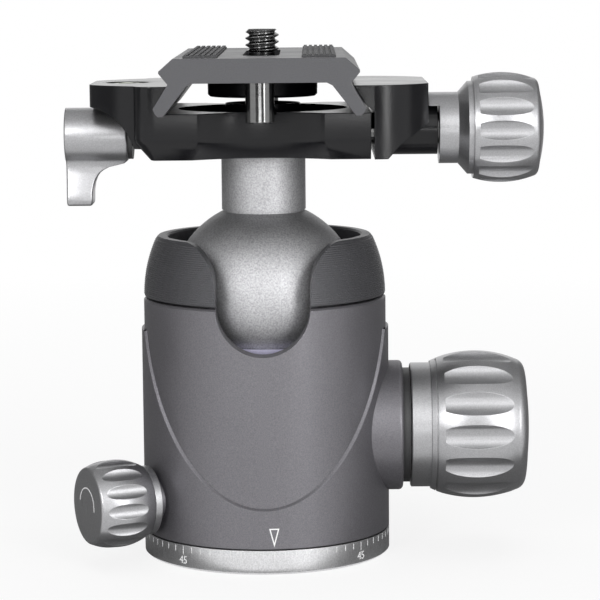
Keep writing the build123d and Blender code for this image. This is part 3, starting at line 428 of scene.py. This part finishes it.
materials = {name: makeFinish(name, look) for name, look in finishes.items()}
slotOfNode = {part["node"]: part["material_slot"] for part in frame["record"]["subparts"]}
for name, node in cadNodes.items():
    for materialSlot in node.material_slots:
        materialSlot.material = materials[slotFinish[slotOfNode[name]]]
print("finishes:", len(materials))


def addMesh(name, vertices, faces):
    # points are in mm
    mesh = bpy.data.meshes.new(name)
    mesh.from_pydata([Vector(v) * mm for v in vertices], [], faces)
    return addObject(name, mesh)


def dressPiece(piece, finish, body, sharpAngle):
    mesh = piece.data
    mesh.shade_smooth()
    mesh.set_sharp_from_angle(angle=math.radians(sharpAngle))
    mesh.materials.clear()
    mesh.materials.append(materials[finish])
    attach(piece, body)


def addPiece(name, vertices, faces, finish, body, sharpAngle=35):
    piece = addMesh(name, vertices, faces)
    piece.data.validate()
    dressPiece(piece, finish, body, sharpAngle)
    return piece


def finishPiece(solid, name, finish, body, node, sharpAngle):
    # a finished solid becomes the piece that stands for a node
    solid.name = name
    dressPiece(solid, finish, body, sharpAngle)
    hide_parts(node)


def gridFaces(rows, columns, wrap):
    faces = []
    for row in range(rows - 1):
        for column in range(columns if wrap else columns - 1):
            after = (column + 1) % columns
            faces.append((row * columns + column, row * columns + after,
                          (row + 1) * columns + after, (row + 1) * columns + column))
    return faces


def stackFaces(rows, count):
    # sides and both ends of a stack of rings with the same number of points
    faces = gridFaces(rows, count, True)
    faces.append(tuple(reversed(range(count))))
    faces.append(tuple(range((rows - 1) * count, rows * count)))
    return faces


def barFaces(steps, flip):
    # sides and both ends of a bar with four corners in each of its steps + 1 sections
    faces = []
    for step in range(steps):
        for side in range(4):
            here, after = step * 4 + side, step * 4 + (side + 1) % 4
            faces.append((here, here + 4, after + 4, after))
    last = steps * 4
    faces += [(0, 1, 2, 3), (last + 3, last + 2, last + 1, last)]
    return [tuple(reversed(face)) for face in faces] if flip else faces


def turnedMesh(outline, steps):
    # closed turned shape about Z from (radius, height) corners, from the lower middle to the upper
    vertices = [(r * math.cos(a), r * math.sin(a), z) for r, z in outline for a in fullTurn(steps)]
    return vertices, stackFaces(len(outline), steps)


def addSolid(vertices, faces):
    # closed solid with its faces turned outwards, to be joined, cut or finished
    solid = addMesh("solid", vertices, faces)
    shape = bmesh.new()
    shape.from_mesh(solid.data)
    bmesh.ops.recalc_face_normals(shape, faces=shape.faces)
    shape.to_mesh(solid.data)
    shape.free()
    return solid


def ringSolid(rings):
    # through rings with the same number of points
    return addSolid([v for ring in rings for v in ring], stackFaces(len(rings), len(rings[0])))


def uprightRod(radii, x=0.0, y=0.0, steps=96):
    # radii: (height, radius) from the bottom to the top
    turn = fullTurn(steps)
    return ringSolid([[(x + r * math.cos(a), y + r * math.sin(a), z) for a in turn]
                      for z, r in radii])


def rodAlongX(radius, start, end, z, y=0.0, steps=64):
    turn = fullTurn(steps)
    return ringSolid([[(x, y + radius * math.cos(a), z + radius * math.sin(a)) for a in turn]
                      for x in (start, end)])


def uprightBore(radius, low, high, x):
    return uprightRod([(low, radius), (high, radius)], x)


def frontProfile(outline, depth):
    # a front view drawn out from front to back
    return ringSolid([[(x, y, z) for x, z in outline] for y in (-depth, depth)])


def turnedRing(profile, steps=256):
    # closed profile of (radius, height) points turned about the head's axis
    count = len(profile)
    vertices = [(r * math.cos(a), r * math.sin(a), z) for a in fullTurn(steps) for r, z in profile]
    faces = []
    for step in range(steps):
        here, there = step * count, (step + 1) % steps * count
        for i in range(count):
            after = (i + 1) % count
            faces.append((here + i, there + i, there + after, here + after))
    return addSolid(vertices, faces)


def evaluatedMesh(thing):
    bpy.context.view_layer.update()
    graph = bpy.context.evaluated_depsgraph_get()
    return bpy.data.meshes.new_from_object(thing.evaluated_get(graph))


def mergeSolids(base, others, operation):
    for other in others:
        change = base.modifiers.new("change", "BOOLEAN")
        change.operation = operation
        change.solver = "EXACT"
        change.object = other
    made = evaluatedMesh(base)
    base.modifiers.clear()
    base.data = made
    for other in others:
        bpy.data.objects.remove(other)


def arcThrough(a, b, c):
    # centre and radius of the circle through three points
    (ax, ay), (bx, by), (cx, cy) = a, b, c
    farA, farB, farC = ax**2 + ay**2, bx**2 + by**2, cx**2 + cy**2
    twice = 2 * (ax * (by - cy) + bx * (cy - ay) + cx * (ay - by))
    x = (farA * (by - cy) + farB * (cy - ay) + farC * (ay - by)) / twice
    y = (farA * (cx - bx) + farB * (ax - cx) + farC * (bx - ax)) / twice
    return x, y, math.dist((x, y), a)


# clamp body: a block with a bevelled underside, a wing to the left and a recess in each long side
clampBody = {
    # the block's sides from the underside up: height, and how far they are set in
    "sides": [(76.3, 3.4), (76.42, 2.95), (79.4, 0.32), (79.9, 0.08), (80.3, 0.0), (90.0, 0.0)],
    "left": -23.3, "right": 20.1, "half": 20.0, "cornerRound": 3.6, "leastRound": 0.3,
    "wing": [(-22.0, 17.4), (-28.2, 13.4), (-32.2, 8.6)], "wingEndRound": 1.5, "wingBottom": 78.5,
    "wingSteps": 24, "wingEndSteps": 8,
    "recessHalf": 11.6, "recessDepth": 4.5, "recessSteps": 160,
    # the plate's channel: its floor, its half width up to the bend, and the half width at the top
    "floor": 85.0, "channelHalf": 19.1, "channelBend": 86.5, "channelLip": 16.93,
    "scoop": (10.55, -33.5, 75.4), "scoopSteps": 128,       # round cut over the lever: radius, x, z
    "clear": 1.0, "channelClear": 5.0, "recessClear": 0.01,     # how far cutters stand out
    # upright bores: radius, lower end, upper end, x
    "pocket": (16.0, 84.5, 86.0, 0.0), "levelBore": (4.8, 87.4, 91.0, -25.6),
    "stemBores": [(6.08, 75.3, 83.0, 0.0), (7.1, 82.8, 86.0, 0.0)],
    # bores along X: radius, left end, right end, height, how far beside the middle, sides
    "leverBores": [(5.75, -40.0, -25.05, 80.1, 0.0, 96), (4.8, -40.0, -24.62, 80.1, 0.0, 64),
                   (2.48, -40.0, 0.0, 80.1, 0.0, 64)],
    "jawBores": [(3.08, 11.5, 21.1, 80.95, 0.0, 64),
                 (1.52, 13.1, 21.1, 81.2, -13.0, 64), (2.18, 16.1, 21.1, 81.2, -13.0, 64),
                 (1.52, 13.1, 21.1, 81.2, 13.0, 64), (2.18, 16.1, 21.1, 81.2, 13.0, 64)],
}


def roundedRectangle(left, right, half, corner, steps=12):
    points = []
    for x, y, start in ((right - corner, half - corner, 0), (left + corner, half - corner, 90),
                        (left + corner, corner - half, 180), (right - corner, corner - half, 270)):
        for step in range(steps + 1):
            angle = math.radians(start + 90 * step / steps)
            points.append((x + corner * math.cos(angle), y + corner * math.sin(angle)))
    return points


def wingPlan(look):
    # plan of the left end: an arc through three points on each side of a rounded end
    (x1, y1), (x2, y2), (x3, y3) = look["wing"]
    cx, cy, radius = arcThrough((x1, y1), (x2, y2), (x3, y3))
    first, last = math.atan2(y1 - cy, x1 - cx), math.atan2(y3 - cy, x3 - cx)
    side = []
    for i in range(look["wingSteps"] - 1):
        angle = first + (last - first) * i / look["wingSteps"]
        side.append((cx + radius * math.cos(angle), cy + radius * math.sin(angle)))
    before, corner, after = side[-1], (x3, y3), (x3, y3 - look["wingEndRound"])
    for i in range(1, look["wingEndSteps"]):
        t = i / look["wingEndSteps"]
        side.append(tuple((1 - t) ** 2 * a + 2 * t * (1 - t) * b + t * t * c
                          for a, b, c in zip(before, corner, after)))
    side.append(after)
    return [(0, y1)] + side + [(x, -y) for x, y in reversed(side)] + [(0, -y1)]


def recessCutters(look):
    # a wide round bite out of the middle of each long side, set in as the sides are
    depth, clear = look["recessDepth"], look["clear"]
    radius = (look["recessHalf"]**2 + depth**2) / (2 * depth)
    radii = [(z, radius + back) for z, back in look["sides"]]
    radii[0] = (radii[0][0] - look["recessClear"], radii[0][1])
    radii[-1] = (radii[-1][0] + clear, radii[-1][1])
    middle = look["half"] - depth + radius
    return [uprightRod(radii, 0, side * middle, look["recessSteps"]) for side in (-1, 1)]


def channelCutter(look):
    top, half, bend = look["sides"][-1][0], look["channelHalf"], look["channelBend"]
    over, far = look["channelClear"], 2 * look["right"]
    beyond = look["channelLip"] - over * (half - look["channelLip"]) / (top - bend)
    return frontProfile([(-beyond, top + over), (-half, bend), (-half, look["floor"]),
                         (far, look["floor"]), (far, top + over)], 2 * look["half"])


def addClampBody(look):
    bottom, top = look["sides"][0][0], look["sides"][-1][0]
    right, half, clear = look["right"], look["half"], look["clear"]
    rings = []
    for z, back in look["sides"]:
        corner = max(look["cornerRound"] - back, look["leastRound"])
        plan = roundedRectangle(look["left"] + back, 2 * right, half - back, corner)
        rings.append([(x, y, z) for x, y in plan])
    body = ringSolid(rings)
    wing = ringSolid([[(x, y, z) for x, y in wingPlan(look)] for z in (look["wingBottom"], top)])
    mergeSolids(body, [wing], "UNION")
    # the block is made too long, and its right end is cut off square
    end = [(right, bottom - clear), (3 * right, bottom - clear),
           (3 * right, top + clear), (right, top + clear)]
    radius, x, z = look["scoop"]
    scoop = [(x + radius * math.cos(a), z + radius * math.sin(a))
             for a in fullTurn(look["scoopSteps"])]
    cutters = [frontProfile(end, 2 * half)] + recessCutters(look)
    cutters += [channelCutter(look), frontProfile(scoop, 2 * half), uprightBore(*look["pocket"])]
    cutters += [rodAlongX(*bore) for bore in look["leverBores"]]
    cutters += [uprightBore(*bore) for bore in look["stemBores"]]
    cutters += [rodAlongX(*bore) for bore in look["jawBores"]]
    cutters.append(uprightBore(*look["levelBore"]))
    mergeSolids(body, cutters, "DIFFERENCE")
    finishPiece(body, "clamp_body_dressed", "blackAnodise", "clamp",
                "clamp_body", 30)


addClampBody(clampBody)
print("clamp body made")


lever = {
    "axis": 80.1, "headRadius": 5.2, "left": -37.45, "right": -25.55,
    # foot to head: height, left, right, half thickness
    "paddle": [(66.85, -36.95, -32.75, 2.8), (66.95, -37.1, -32.55, 3.15),
               (67.3, -37.2, -32.4, 3.4), (68.2, -37.24, -32.36, 3.45),
               (69.6, -37.26, -32.3, 3.15), (71.0, -37.28, -32.05, 2.75),
               (72.1, -37.3, -31.65, 2.45), (73.0, -37.32, -31.0, 2.25),
               (73.6, -37.33, -30.2, 2.17), (74.1, -37.34, -29.2, 2.13),
               (74.45, -37.35, -27.7, 2.12), (74.8, -37.36, -26.3, 2.16),
               (75.2, -37.37, -25.8, 2.3)],
    "corner": 0.4, "cornerShare": 0.9, "cornerSteps": 5,    # share: the most of a half thickness
    "headRows": 30, "neckHalf": 2.6, "crownGap": 0.02,      # gap: angle left open at the crown
}


def addLever(look):
    axis, radius, count = look["axis"], look["headRadius"], look["headRows"]
    rows = list(look["paddle"])
    # the head's round takes over where it is thicker than the paddle
    low = math.asin(look["neckHalf"] / radius)
    for i in range(count):
        angle = low + (math.pi - low - look["crownGap"]) * i / (count - 1)
        rows.append((axis - radius * math.cos(angle), look["left"], look["right"],
                     radius * math.sin(angle)))
    rings = []
    for z, left, right, half in rows:
        corner = min(look["corner"], look["cornerShare"] * half)
        plan = roundedRectangle(left, right, half, corner, look["cornerSteps"])
        rings.append([(x, y, z) for x, y in plan])
    finishPiece(ringSolid(rings), "clamp_lever_dressed", "satinSilver", "lever",
                "clamp_lever", 50)


addLever(lever)
print("lever made")


# bubble level's window, with outlines as radius and height
level = {
    "x": -25.6, "steps": 64,
    "window": [(3.0, 89.5), (4.05, 89.5), (4.05, 89.7), (3.4, 89.8), (2.4, 89.88),
               (1.2, 89.93), (0.1, 89.94)],
    "circle": [(1.5, 89.7), (1.72, 89.7), (1.72, 89.94), (1.5, 89.95)],
    "bubble": [(0.5, 89.7), (1.15, 89.8), (1.2, 89.94), (0.9, 89.97), (0.4, 89.985),
               (0.05, 89.985)],
}


def addLevel(look):
    for name, finish in (("window", "levelLiquid"), ("bubble", "levelBubble")):
        vertices, faces = turnedMesh(look[name], look["steps"])
        vertices = [(x + look["x"], y, z) for x, y, z in vertices]
        addPiece("level_" + name, vertices, faces, finish, "clamp")
    circle = turnedRing(look["circle"], look["steps"])
    circle.name = "level_circle"
    for vertex in circle.data.vertices:
        vertex.co.x += look["x"] * mm
    dressPiece(circle, "levelBlack", "clamp", 180)


addLevel(level)
print("level's window made")


collar = {
    # outside from the foot to the rim, and inside from the rim down: radius, height
    "side": ((22.95, 49.7), (22.2, 55.9), (20.5, 60.65)), "sideSteps": 20,
    "inside": [(20.15, 61.0), (18.75, 61.0), (18.4, 60.65), (18.4, 54.8), (19.4, 54.8),
               (19.4, 46.0), (21.0, 46.0), (21.0, 49.7)],
    # drop notch: a U whose mouth opens in quarter ellipses; pairs are near the ball and outside
    "notch": {
        "deep": (9.0, 27.8), "half": (8.3, 9.0), "flare": (5.0, 8.9), "rise": (7.2, 10.1),
        "top": 61.0, "foot": 49.3, "clear": 0.5, "footSteps": 16, "mouthSteps": 24,
    },
}
frictionRing = {
    "outer": 19.32, "bottom": 50.5, "top": 54.8, "bore": 18.12, "ballHeight": 49.3, "steps": 12,
}


def notchSolid(notch):
    # cutter that is wider outside than at the ball
    top, foot = notch["top"], notch["foot"]
    footSteps, mouthSteps = notch["footSteps"], notch["mouthSteps"]
    rings = []
    for i, y in enumerate(notch["deep"]):
        half, flare, rise = notch["half"][i], notch["flare"][i], notch["rise"][i]
        right = []
        for step in range(footSteps + 1):
            angle = math.pi / 2 * step / footSteps
            right.append((half * math.sin(angle), foot - half * math.cos(angle)))
        for step in range(mouthSteps + 1):
            angle = math.pi / 2 * step / mouthSteps
            right.append((half + flare * (1 - math.cos(angle)),
                          top - rise + rise * math.sin(angle)))
        right.append((half + flare, top + notch["clear"]))
        left = [(-x, z) for x, z in reversed(right[1:])]
        rings.append([(x, -y, z) for x, z in right + left])
    return ringSolid(rings)


def addCollar(look):
    centreR, centreZ, radius = arcThrough(*look["side"])
    low, high, steps = look["side"][0][1], look["side"][2][1], look["sideSteps"]
    profile = []
    for i in range(steps + 1):
        z = low + (high - low) * i / steps
        profile.append((centreR + math.sqrt(radius**2 - (z - centreZ)**2), z))
    body = turnedRing(profile + look["inside"])
    mergeSolids(body, [notchSolid(look["notch"])], "DIFFERENCE")
    finishPiece(body, "collar_dressed", "ringedDark", "housing", "collar", 30)


def addFrictionRing(look, notch):
    steps = look["steps"]
    profile = [(look["outer"], look["bottom"]), (look["outer"], look["top"])]
    for i in range(steps + 1):
        z = look["top"] + (look["bottom"] - look["top"]) * i / steps
        profile.append((math.sqrt(look["bore"]**2 - (z - look["ballHeight"])**2), z))
    body = turnedRing(profile)
    mergeSolids(body, [notchSolid(notch)], "DIFFERENCE")
    finishPiece(body, "friction_ring_dressed", "blackAcetal", "housing",
                "friction_ring", 30)


addCollar(collar)
addFrictionRing(frictionRing, collar["notch"])
print("collar and friction ring made")


# fine turned rings: a thin skin on the collar's side that stops at the notch
collarRings = {
    "bottom": 49.85, "top": 60.45, "pitch": 0.37, "height": 0.09, "edgeGap": 0.1,
    "proud": 0.01, "sunk": 0.06, "columns": 260, "perRing": 6, "edgeTries": 8,
}


def notchAngle(radius, z, notch, look):
    # angle from the front where the notch's edge meets the collar
    near, far = notch["deep"]
    y = radius
    for _ in range(look["edgeTries"]):
        share = (y - near) / (far - near)
        half, flare, rise = (notch[key][0] + share * (notch[key][1] - notch[key][0])
                             for key in ("half", "flare", "rise"))
        up = min(1.0, max(0.0, (z - notch["top"] + rise) / rise))
        x = half + flare * (1 - math.sqrt(1 - up**2))
        y = math.sqrt(radius**2 - x**2)
    return math.asin((x + look["edgeGap"]) / radius)


def addCollarRings(look, carrier):
    centreR, centreZ, arc = arcThrough(*carrier["side"])
    rings = int((look["top"] - look["bottom"]) / look["pitch"])
    rows, columns = rings * look["perRing"] + 1, look["columns"]
    outer, inner = [], []
    for row in range(rows):
        z = look["bottom"] + (look["top"] - look["bottom"]) * row / (rows - 1)
        radius = centreR + math.sqrt(arc**2 - (z - centreZ)**2)
        wave = 0.5 - 0.5 * math.cos(2 * math.pi * row / look["perRing"])
        crest = radius + look["height"] * wave + look["proud"]
        start = notchAngle(radius, z, carrier["notch"], look)
        for column in range(columns):
            angle = start + (2 * math.pi - 2 * start) * column / (columns - 1)
            for wall, r in ((outer, crest), (inner, radius - look["sunk"])):
                wall.append((r * math.sin(angle), -r * math.cos(angle), z))
    shift = len(outer)
    faces = gridFaces(rows, columns, False)
    faces += [tuple(reversed([v + shift for v in face])) for face in faces]
    for column in range(columns - 1):
        top = (rows - 1) * columns + column
        faces.append((column + 1, column, column + shift, column + 1 + shift))
        faces.append((top, top + 1, top + 1 + shift, top + shift))
    for row in range(rows - 1):
        left, right = row * columns, row * columns + columns - 1
        faces.append((left, left + columns, left + columns + shift, left + shift))
        faces.append((right + columns, right, right + shift, right + columns + shift))
    addPiece("collar_rings", outer + inner, faces, "ringedDark", "housing", 60)


addCollarRings(collarRings, collar)
print("collar rings made")


# bevels inside the shield-shaped reliefs, between the skin's edge and the sunk panel
shieldBevel = {
    "skin": 23.6, "depth": 0.5, "width": 0.42, "halfWidth": 23.2, "centre": 49.7,
    "halfHeight": 37.8, "top": 43.2, "steps": 160,
    "proud": 0.004, "overlap": 0.01, "sunk": 0.05, "lip": 0.005,    # how it sits on the barrel
}


def addShieldBevel(look, name, front):
    # a strip that runs down one side of the shield and up the other
    steps, skin = look["steps"], look["skin"]
    drop = math.asin((look["centre"] - look["top"]) / look["halfHeight"])
    edge = []
    for step in range(steps + 1):
        t = math.pi - drop - (math.pi - 2 * drop) * step / steps
        x, z = look["halfWidth"] * math.cos(t), look["centre"] - look["halfHeight"] * math.sin(t)
        edge.append((skin * math.asin(x / skin), z))
    low = skin - look["depth"]
    section = ((skin + look["proud"], -look["overlap"]), (low - look["sunk"], -look["overlap"]),
               (low - look["sunk"], look["width"]), (low + look["lip"], look["width"]))
    vertices = []
    for step, (along, z) in enumerate(edge):
        before, after = edge[max(0, step - 1)], edge[min(steps, step + 1)]
        dx, dz = after[0] - before[0], after[1] - before[1]
        length = math.hypot(dx, dz)
        inX, inZ = -dz / length, dx / length
        for radius, inwards in section:
            angle = (along + inX * inwards) / skin
            y = -radius * math.cos(angle) if front else radius * math.cos(angle)
            vertices.append((radius * math.sin(angle), y, z + inZ * inwards))
    addPiece(name, vertices, barFaces(steps, front), "blastedGunmetal", "housing",
             25)


addShieldBevel(shieldBevel, "shield_bevel_front", True)
addShieldBevel(shieldBevel, "shield_bevel_back", False)
print("shield bevels made")


scale = {
    "radius": 23.6, "top": 4.3, "zeroAt": 4.2, "step": 5, "tick": 1.1, "longTick": 1.6,
    "longEvery": 45, "width": 0.12, "proud": 0.02, "sunk": 0.03,
    "numberHeight": 2.1, "numberZ": 1.62, "numberSpacing": 0.95, "curveSteps": 3,
}
indexMark = {
    "radius": 23.6, "at": 4.2, "top": 8.7, "tip": 5.2, "half": 0.95, "stroke": 0.22,
    "proud": 0.03, "sunk": 0.05, "parts": 5,
}


def roundBarrel(x, z, radius, degrees):
    # a flat drawing's point, wrapped on an upright cylinder at an angle from the front
    angle = math.radians(degrees) + x / radius
    return (radius * math.sin(angle), -radius * math.cos(angle), z)


def addTicks(look):
    vertices, faces = [], []
    half, proud, sunk = look["width"] / 2, look["proud"], look["sunk"]
    for degrees in range(0, 360, look["step"]):
        length = look["longTick"] if degrees % look["longEvery"] == 0 else look["tick"]
        low, high = look["top"] - length, look["top"]
        start = len(vertices)
        for radius in (look["radius"] - sunk, look["radius"] + proud):
            for x, z in ((-half, high), (half, high), (half, low), (-half, low)):
                vertices.append(roundBarrel(x, z, radius, degrees + look["zeroAt"]))
        for face in stackFaces(2, 4):
            faces.append(tuple(start + v for v in reversed(face)))
    addPiece("scale_ticks", vertices, faces, "whitePrint", "base")


def addNumbers(look):
    every = look["longEvery"]
    for degrees in range(every - 180, 181, every):
        if degrees == 0:
            continue
        name = "scale_number_" + str(degrees % 360)
        letters = bpy.data.curves.new(name, "FONT")
        letters.body = str(abs(degrees))
        letters.align_x, letters.align_y = "CENTER", "CENTER"
        letters.size = look["numberHeight"]
        letters.space_character = look["numberSpacing"]
        letters.extrude = look["proud"]
        letters.resolution_u = look["curveSteps"]
        drawn = addObject(name + "_flat", letters)
        flat = evaluatedMesh(drawn)
        vertices = [roundBarrel(v.co.x, look["numberZ"] + v.co.y, look["radius"] + v.co.z,
                                degrees + look["zeroAt"]) for v in flat.vertices]
        faces = [tuple(face.vertices) for face in flat.polygons]
        bpy.data.objects.remove(drawn)
        addPiece(name, vertices, faces, "whitePrint", "base")


def addIndexMark(look):
    # an open triangle: two loops of points behind, two in front
    top, tip, half, stroke = look["top"], look["tip"], look["half"], look["stroke"]
    parts = look["parts"]
    lean = math.atan2(half, top - tip)
    innerHalf = half - stroke * (1 + math.sin(lean)) / math.cos(lean)
    innerTip = tip + stroke / math.sin(lean)
    outside = [(-half, top), (half, top), (0, tip)]
    inside = [(-innerHalf, top - stroke), (innerHalf, top - stroke), (0, innerTip)]
    vertices, faces = [], []
    for radius in (look["radius"] - look["sunk"], look["radius"] + look["proud"]):
        for corners in (outside, inside):
            for i, (fromX, fromZ) in enumerate(corners):
                toX, toZ = corners[(i + 1) % 3]
                for part in range(parts):
                    x = fromX + (toX - fromX) * part / parts
                    z = fromZ + (toZ - fromZ) * part / parts
                    vertices.append(roundBarrel(x, z, radius, look["at"]))
    count = 3 * parts
    loops = {"backOut": 0, "backIn": count, "frontOut": 2 * count, "frontIn": 3 * count}
    for one, other in (("backOut", "backIn"), ("frontOut", "backOut"),
                       ("frontIn", "frontOut"), ("backIn", "frontIn")):
        for i in range(count):
            after = (i + 1) % count
            faces.append((loops[one] + i, loops[one] + after,
                          loops[other] + after, loops[other] + i))
    addPiece("index_mark", vertices, faces, "whitePrint", "housing")


addTicks(scale)
addNumbers(scale)
addIndexMark(indexMark)
print("scale and index mark made")


# arc on the pan knob's face: angle and height are the knob's, from and to are the arc's ends
panArc = {
    "angle": 27.0, "height": 11.8, "face": 37.42, "radius": 3.45, "stroke": 0.2,
    "from": -8, "to": 168, "steps": 48, "proud": 0.02, "sunk": 0.06,
}


def onPanKnob(look, across, up, out):
    # across and up are in the face seen from outside, out is along the knob's axis
    angle = math.radians(look["angle"])
    outward = Vector((-math.cos(angle), -math.sin(angle), 0))
    sideways = Vector((math.sin(angle), -math.cos(angle), 0))
    return tuple(outward * out + sideways * across + Vector((0, 0, look["height"] + up)))


def addPanArc(look):
    steps, half = look["steps"], look["stroke"] / 2
    back, front = look["face"] - look["sunk"], look["face"] + look["proud"]
    vertices = []
    for step in range(steps + 1):
        angle = math.radians(look["from"] + (look["to"] - look["from"]) * step / steps)
        for beside, out in ((-half, back), (half, back), (half, front), (-half, front)):
            r = look["radius"] + beside
            vertices.append(onPanKnob(look, r * math.cos(angle), r * math.sin(angle), out))
    addPiece("pan_knob_arc", vertices, barFaces(steps, False), "whitePrint", "pan_knob")


addPanArc(panArc)
print("pan knob's arc made")


cameraScrew = {
    "head": (10.4, 87.3, 90.9), "headEdge": 0.4, "stubTop": 92.0, "endRadius": 0.4,
    "slotWidth": 1.8, "slotDepth": 1.4, "slotClear": 1.0,
    "shank": 2.6, "shankFrom": 91.5, "thread": 3.175, "threadFrom": 95.6, "threadTo": 99.9,
    "tipEdge": 0.6, "startGap": 0.05, "startSlope": 2.0,
    "pitch": 1.27, "threadDepth": 0.72, "steps": 96, "rowHeight": 0.05,
}
# a thread's tooth as shares of its pitch: half the flat crest, and one flank
tooth = {"crest": 0.08, "flank": 0.34}


def toothDepth(share):
    # 0 on the crest, 1 in the root
    return min(1.0, max(0.0, (abs(share - 0.5) - tooth["crest"]) / tooth["flank"]))


def addCameraScrewHead(look):
    radius, bottom, top = look["head"]
    edge, end = look["headEdge"], look["endRadius"]
    outline = [(end, bottom), (radius - edge, bottom), (radius, bottom + edge),
               (radius, top - edge), (radius - edge, top), (look["shank"], top),
               (look["shank"], look["stubTop"]), (end, look["stubTop"])]
    vertices, faces = turnedMesh(outline, look["steps"])
    head = addPiece("camera_screw_head", vertices, faces, "blackAnodise", "camera_screw")
    # the coin slot is cut across the underside
    x, y = radius + look["slotClear"], look["slotWidth"] / 2
    corners = [(-x, -y), (x, -y), (x, y), (-x, y)]
    slot = ringSolid([[(*corner, z) for corner in corners]
                      for z in (bottom - look["slotClear"], bottom + look["slotDepth"])])
    mergeSolids(head, [slot], "DIFFERENCE")
    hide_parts("camera_screw")


def addCameraThread(look):
    low, high, steps = look["threadFrom"], look["threadTo"], look["steps"]
    rows = int((high - low) / look["rowHeight"]) + 1
    shank = look["shank"]
    vertices = [(shank * math.cos(a), shank * math.sin(a), look["shankFrom"])
                for a in fullTurn(steps)]
    for row in range(rows):
        z = low + (high - low) * row / (rows - 1)
        tip = look["thread"] - look["tipEdge"] + (high - z)
        start = shank - look["startGap"] + look["startSlope"] * (z - low)
        for step in range(steps):
            share = ((z - low) / look["pitch"] - step / steps) % 1.0
            radius = min(look["thread"] - look["threadDepth"] * toothDepth(share), tip, start)
            angle = 2 * math.pi * step / steps
            vertices.append((radius * math.cos(angle), radius * math.sin(angle), z))
    addPiece("camera_screw_thread", vertices, stackFaces(rows + 1, steps), "turnedSteel",
             "camera_screw", 50)


addCameraScrewHead(cameraScrew)
addCameraThread(cameraScrew)
print("camera screw made")


# thread inside the tripod bush, a sleeve with teeth on its inside
bushThread = {
    "outer": 4.8, "depth": 0.85, "pitch": 1.5875, "from": 0.5, "to": 10.9, "steps": 72,
    "rowHeight": 0.1, "sleeveIn": 0.06, "sleeveOut": 0.1, "runIn": 0.6,
}


def addBushThread(look):
    steps, bottom, height = look["steps"], look["from"], look["to"] - look["from"]
    rows = int(height / look["rowHeight"]) + 1
    wall, back = look["outer"] - look["sleeveIn"], look["outer"] + look["sleeveOut"]
    inner, outer = [], []
    for row in range(rows):
        z = bottom + height * row / (rows - 1)
        ends = min(1.0, (z - bottom) / look["runIn"])
        for step in range(steps):
            depth = toothDepth((z / look["pitch"] - step / steps) % 1.0)
            angle = 2 * math.pi * step / steps
            for side, r in ((inner, wall - look["depth"] * (1 - depth) * ends), (outer, back)):
                side.append((r * math.cos(angle), r * math.sin(angle), z))
    shift = len(inner)
    skin = gridFaces(rows, steps, True)
    faces = [tuple(reversed(face)) for face in skin]
    faces += [tuple(v + shift for v in face) for face in skin]
    top = (rows - 1) * steps
    for step in range(steps):
        after = (step + 1) % steps
        faces.append((step, after, after + shift, step + shift))
        faces.append((top + after, top + step, top + step + shift, top + after + shift))
    addPiece("tripod_bush_thread", inner + outer, faces, "turnedSteel", "base", 50)


addBushThread(bushThread)
print("bush thread made")


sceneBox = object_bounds()
for title, box in (("cad", cadBox), ("scene", sceneBox)):
    print(title, "size:", [round(v, 4) for corner in box for v in corner])
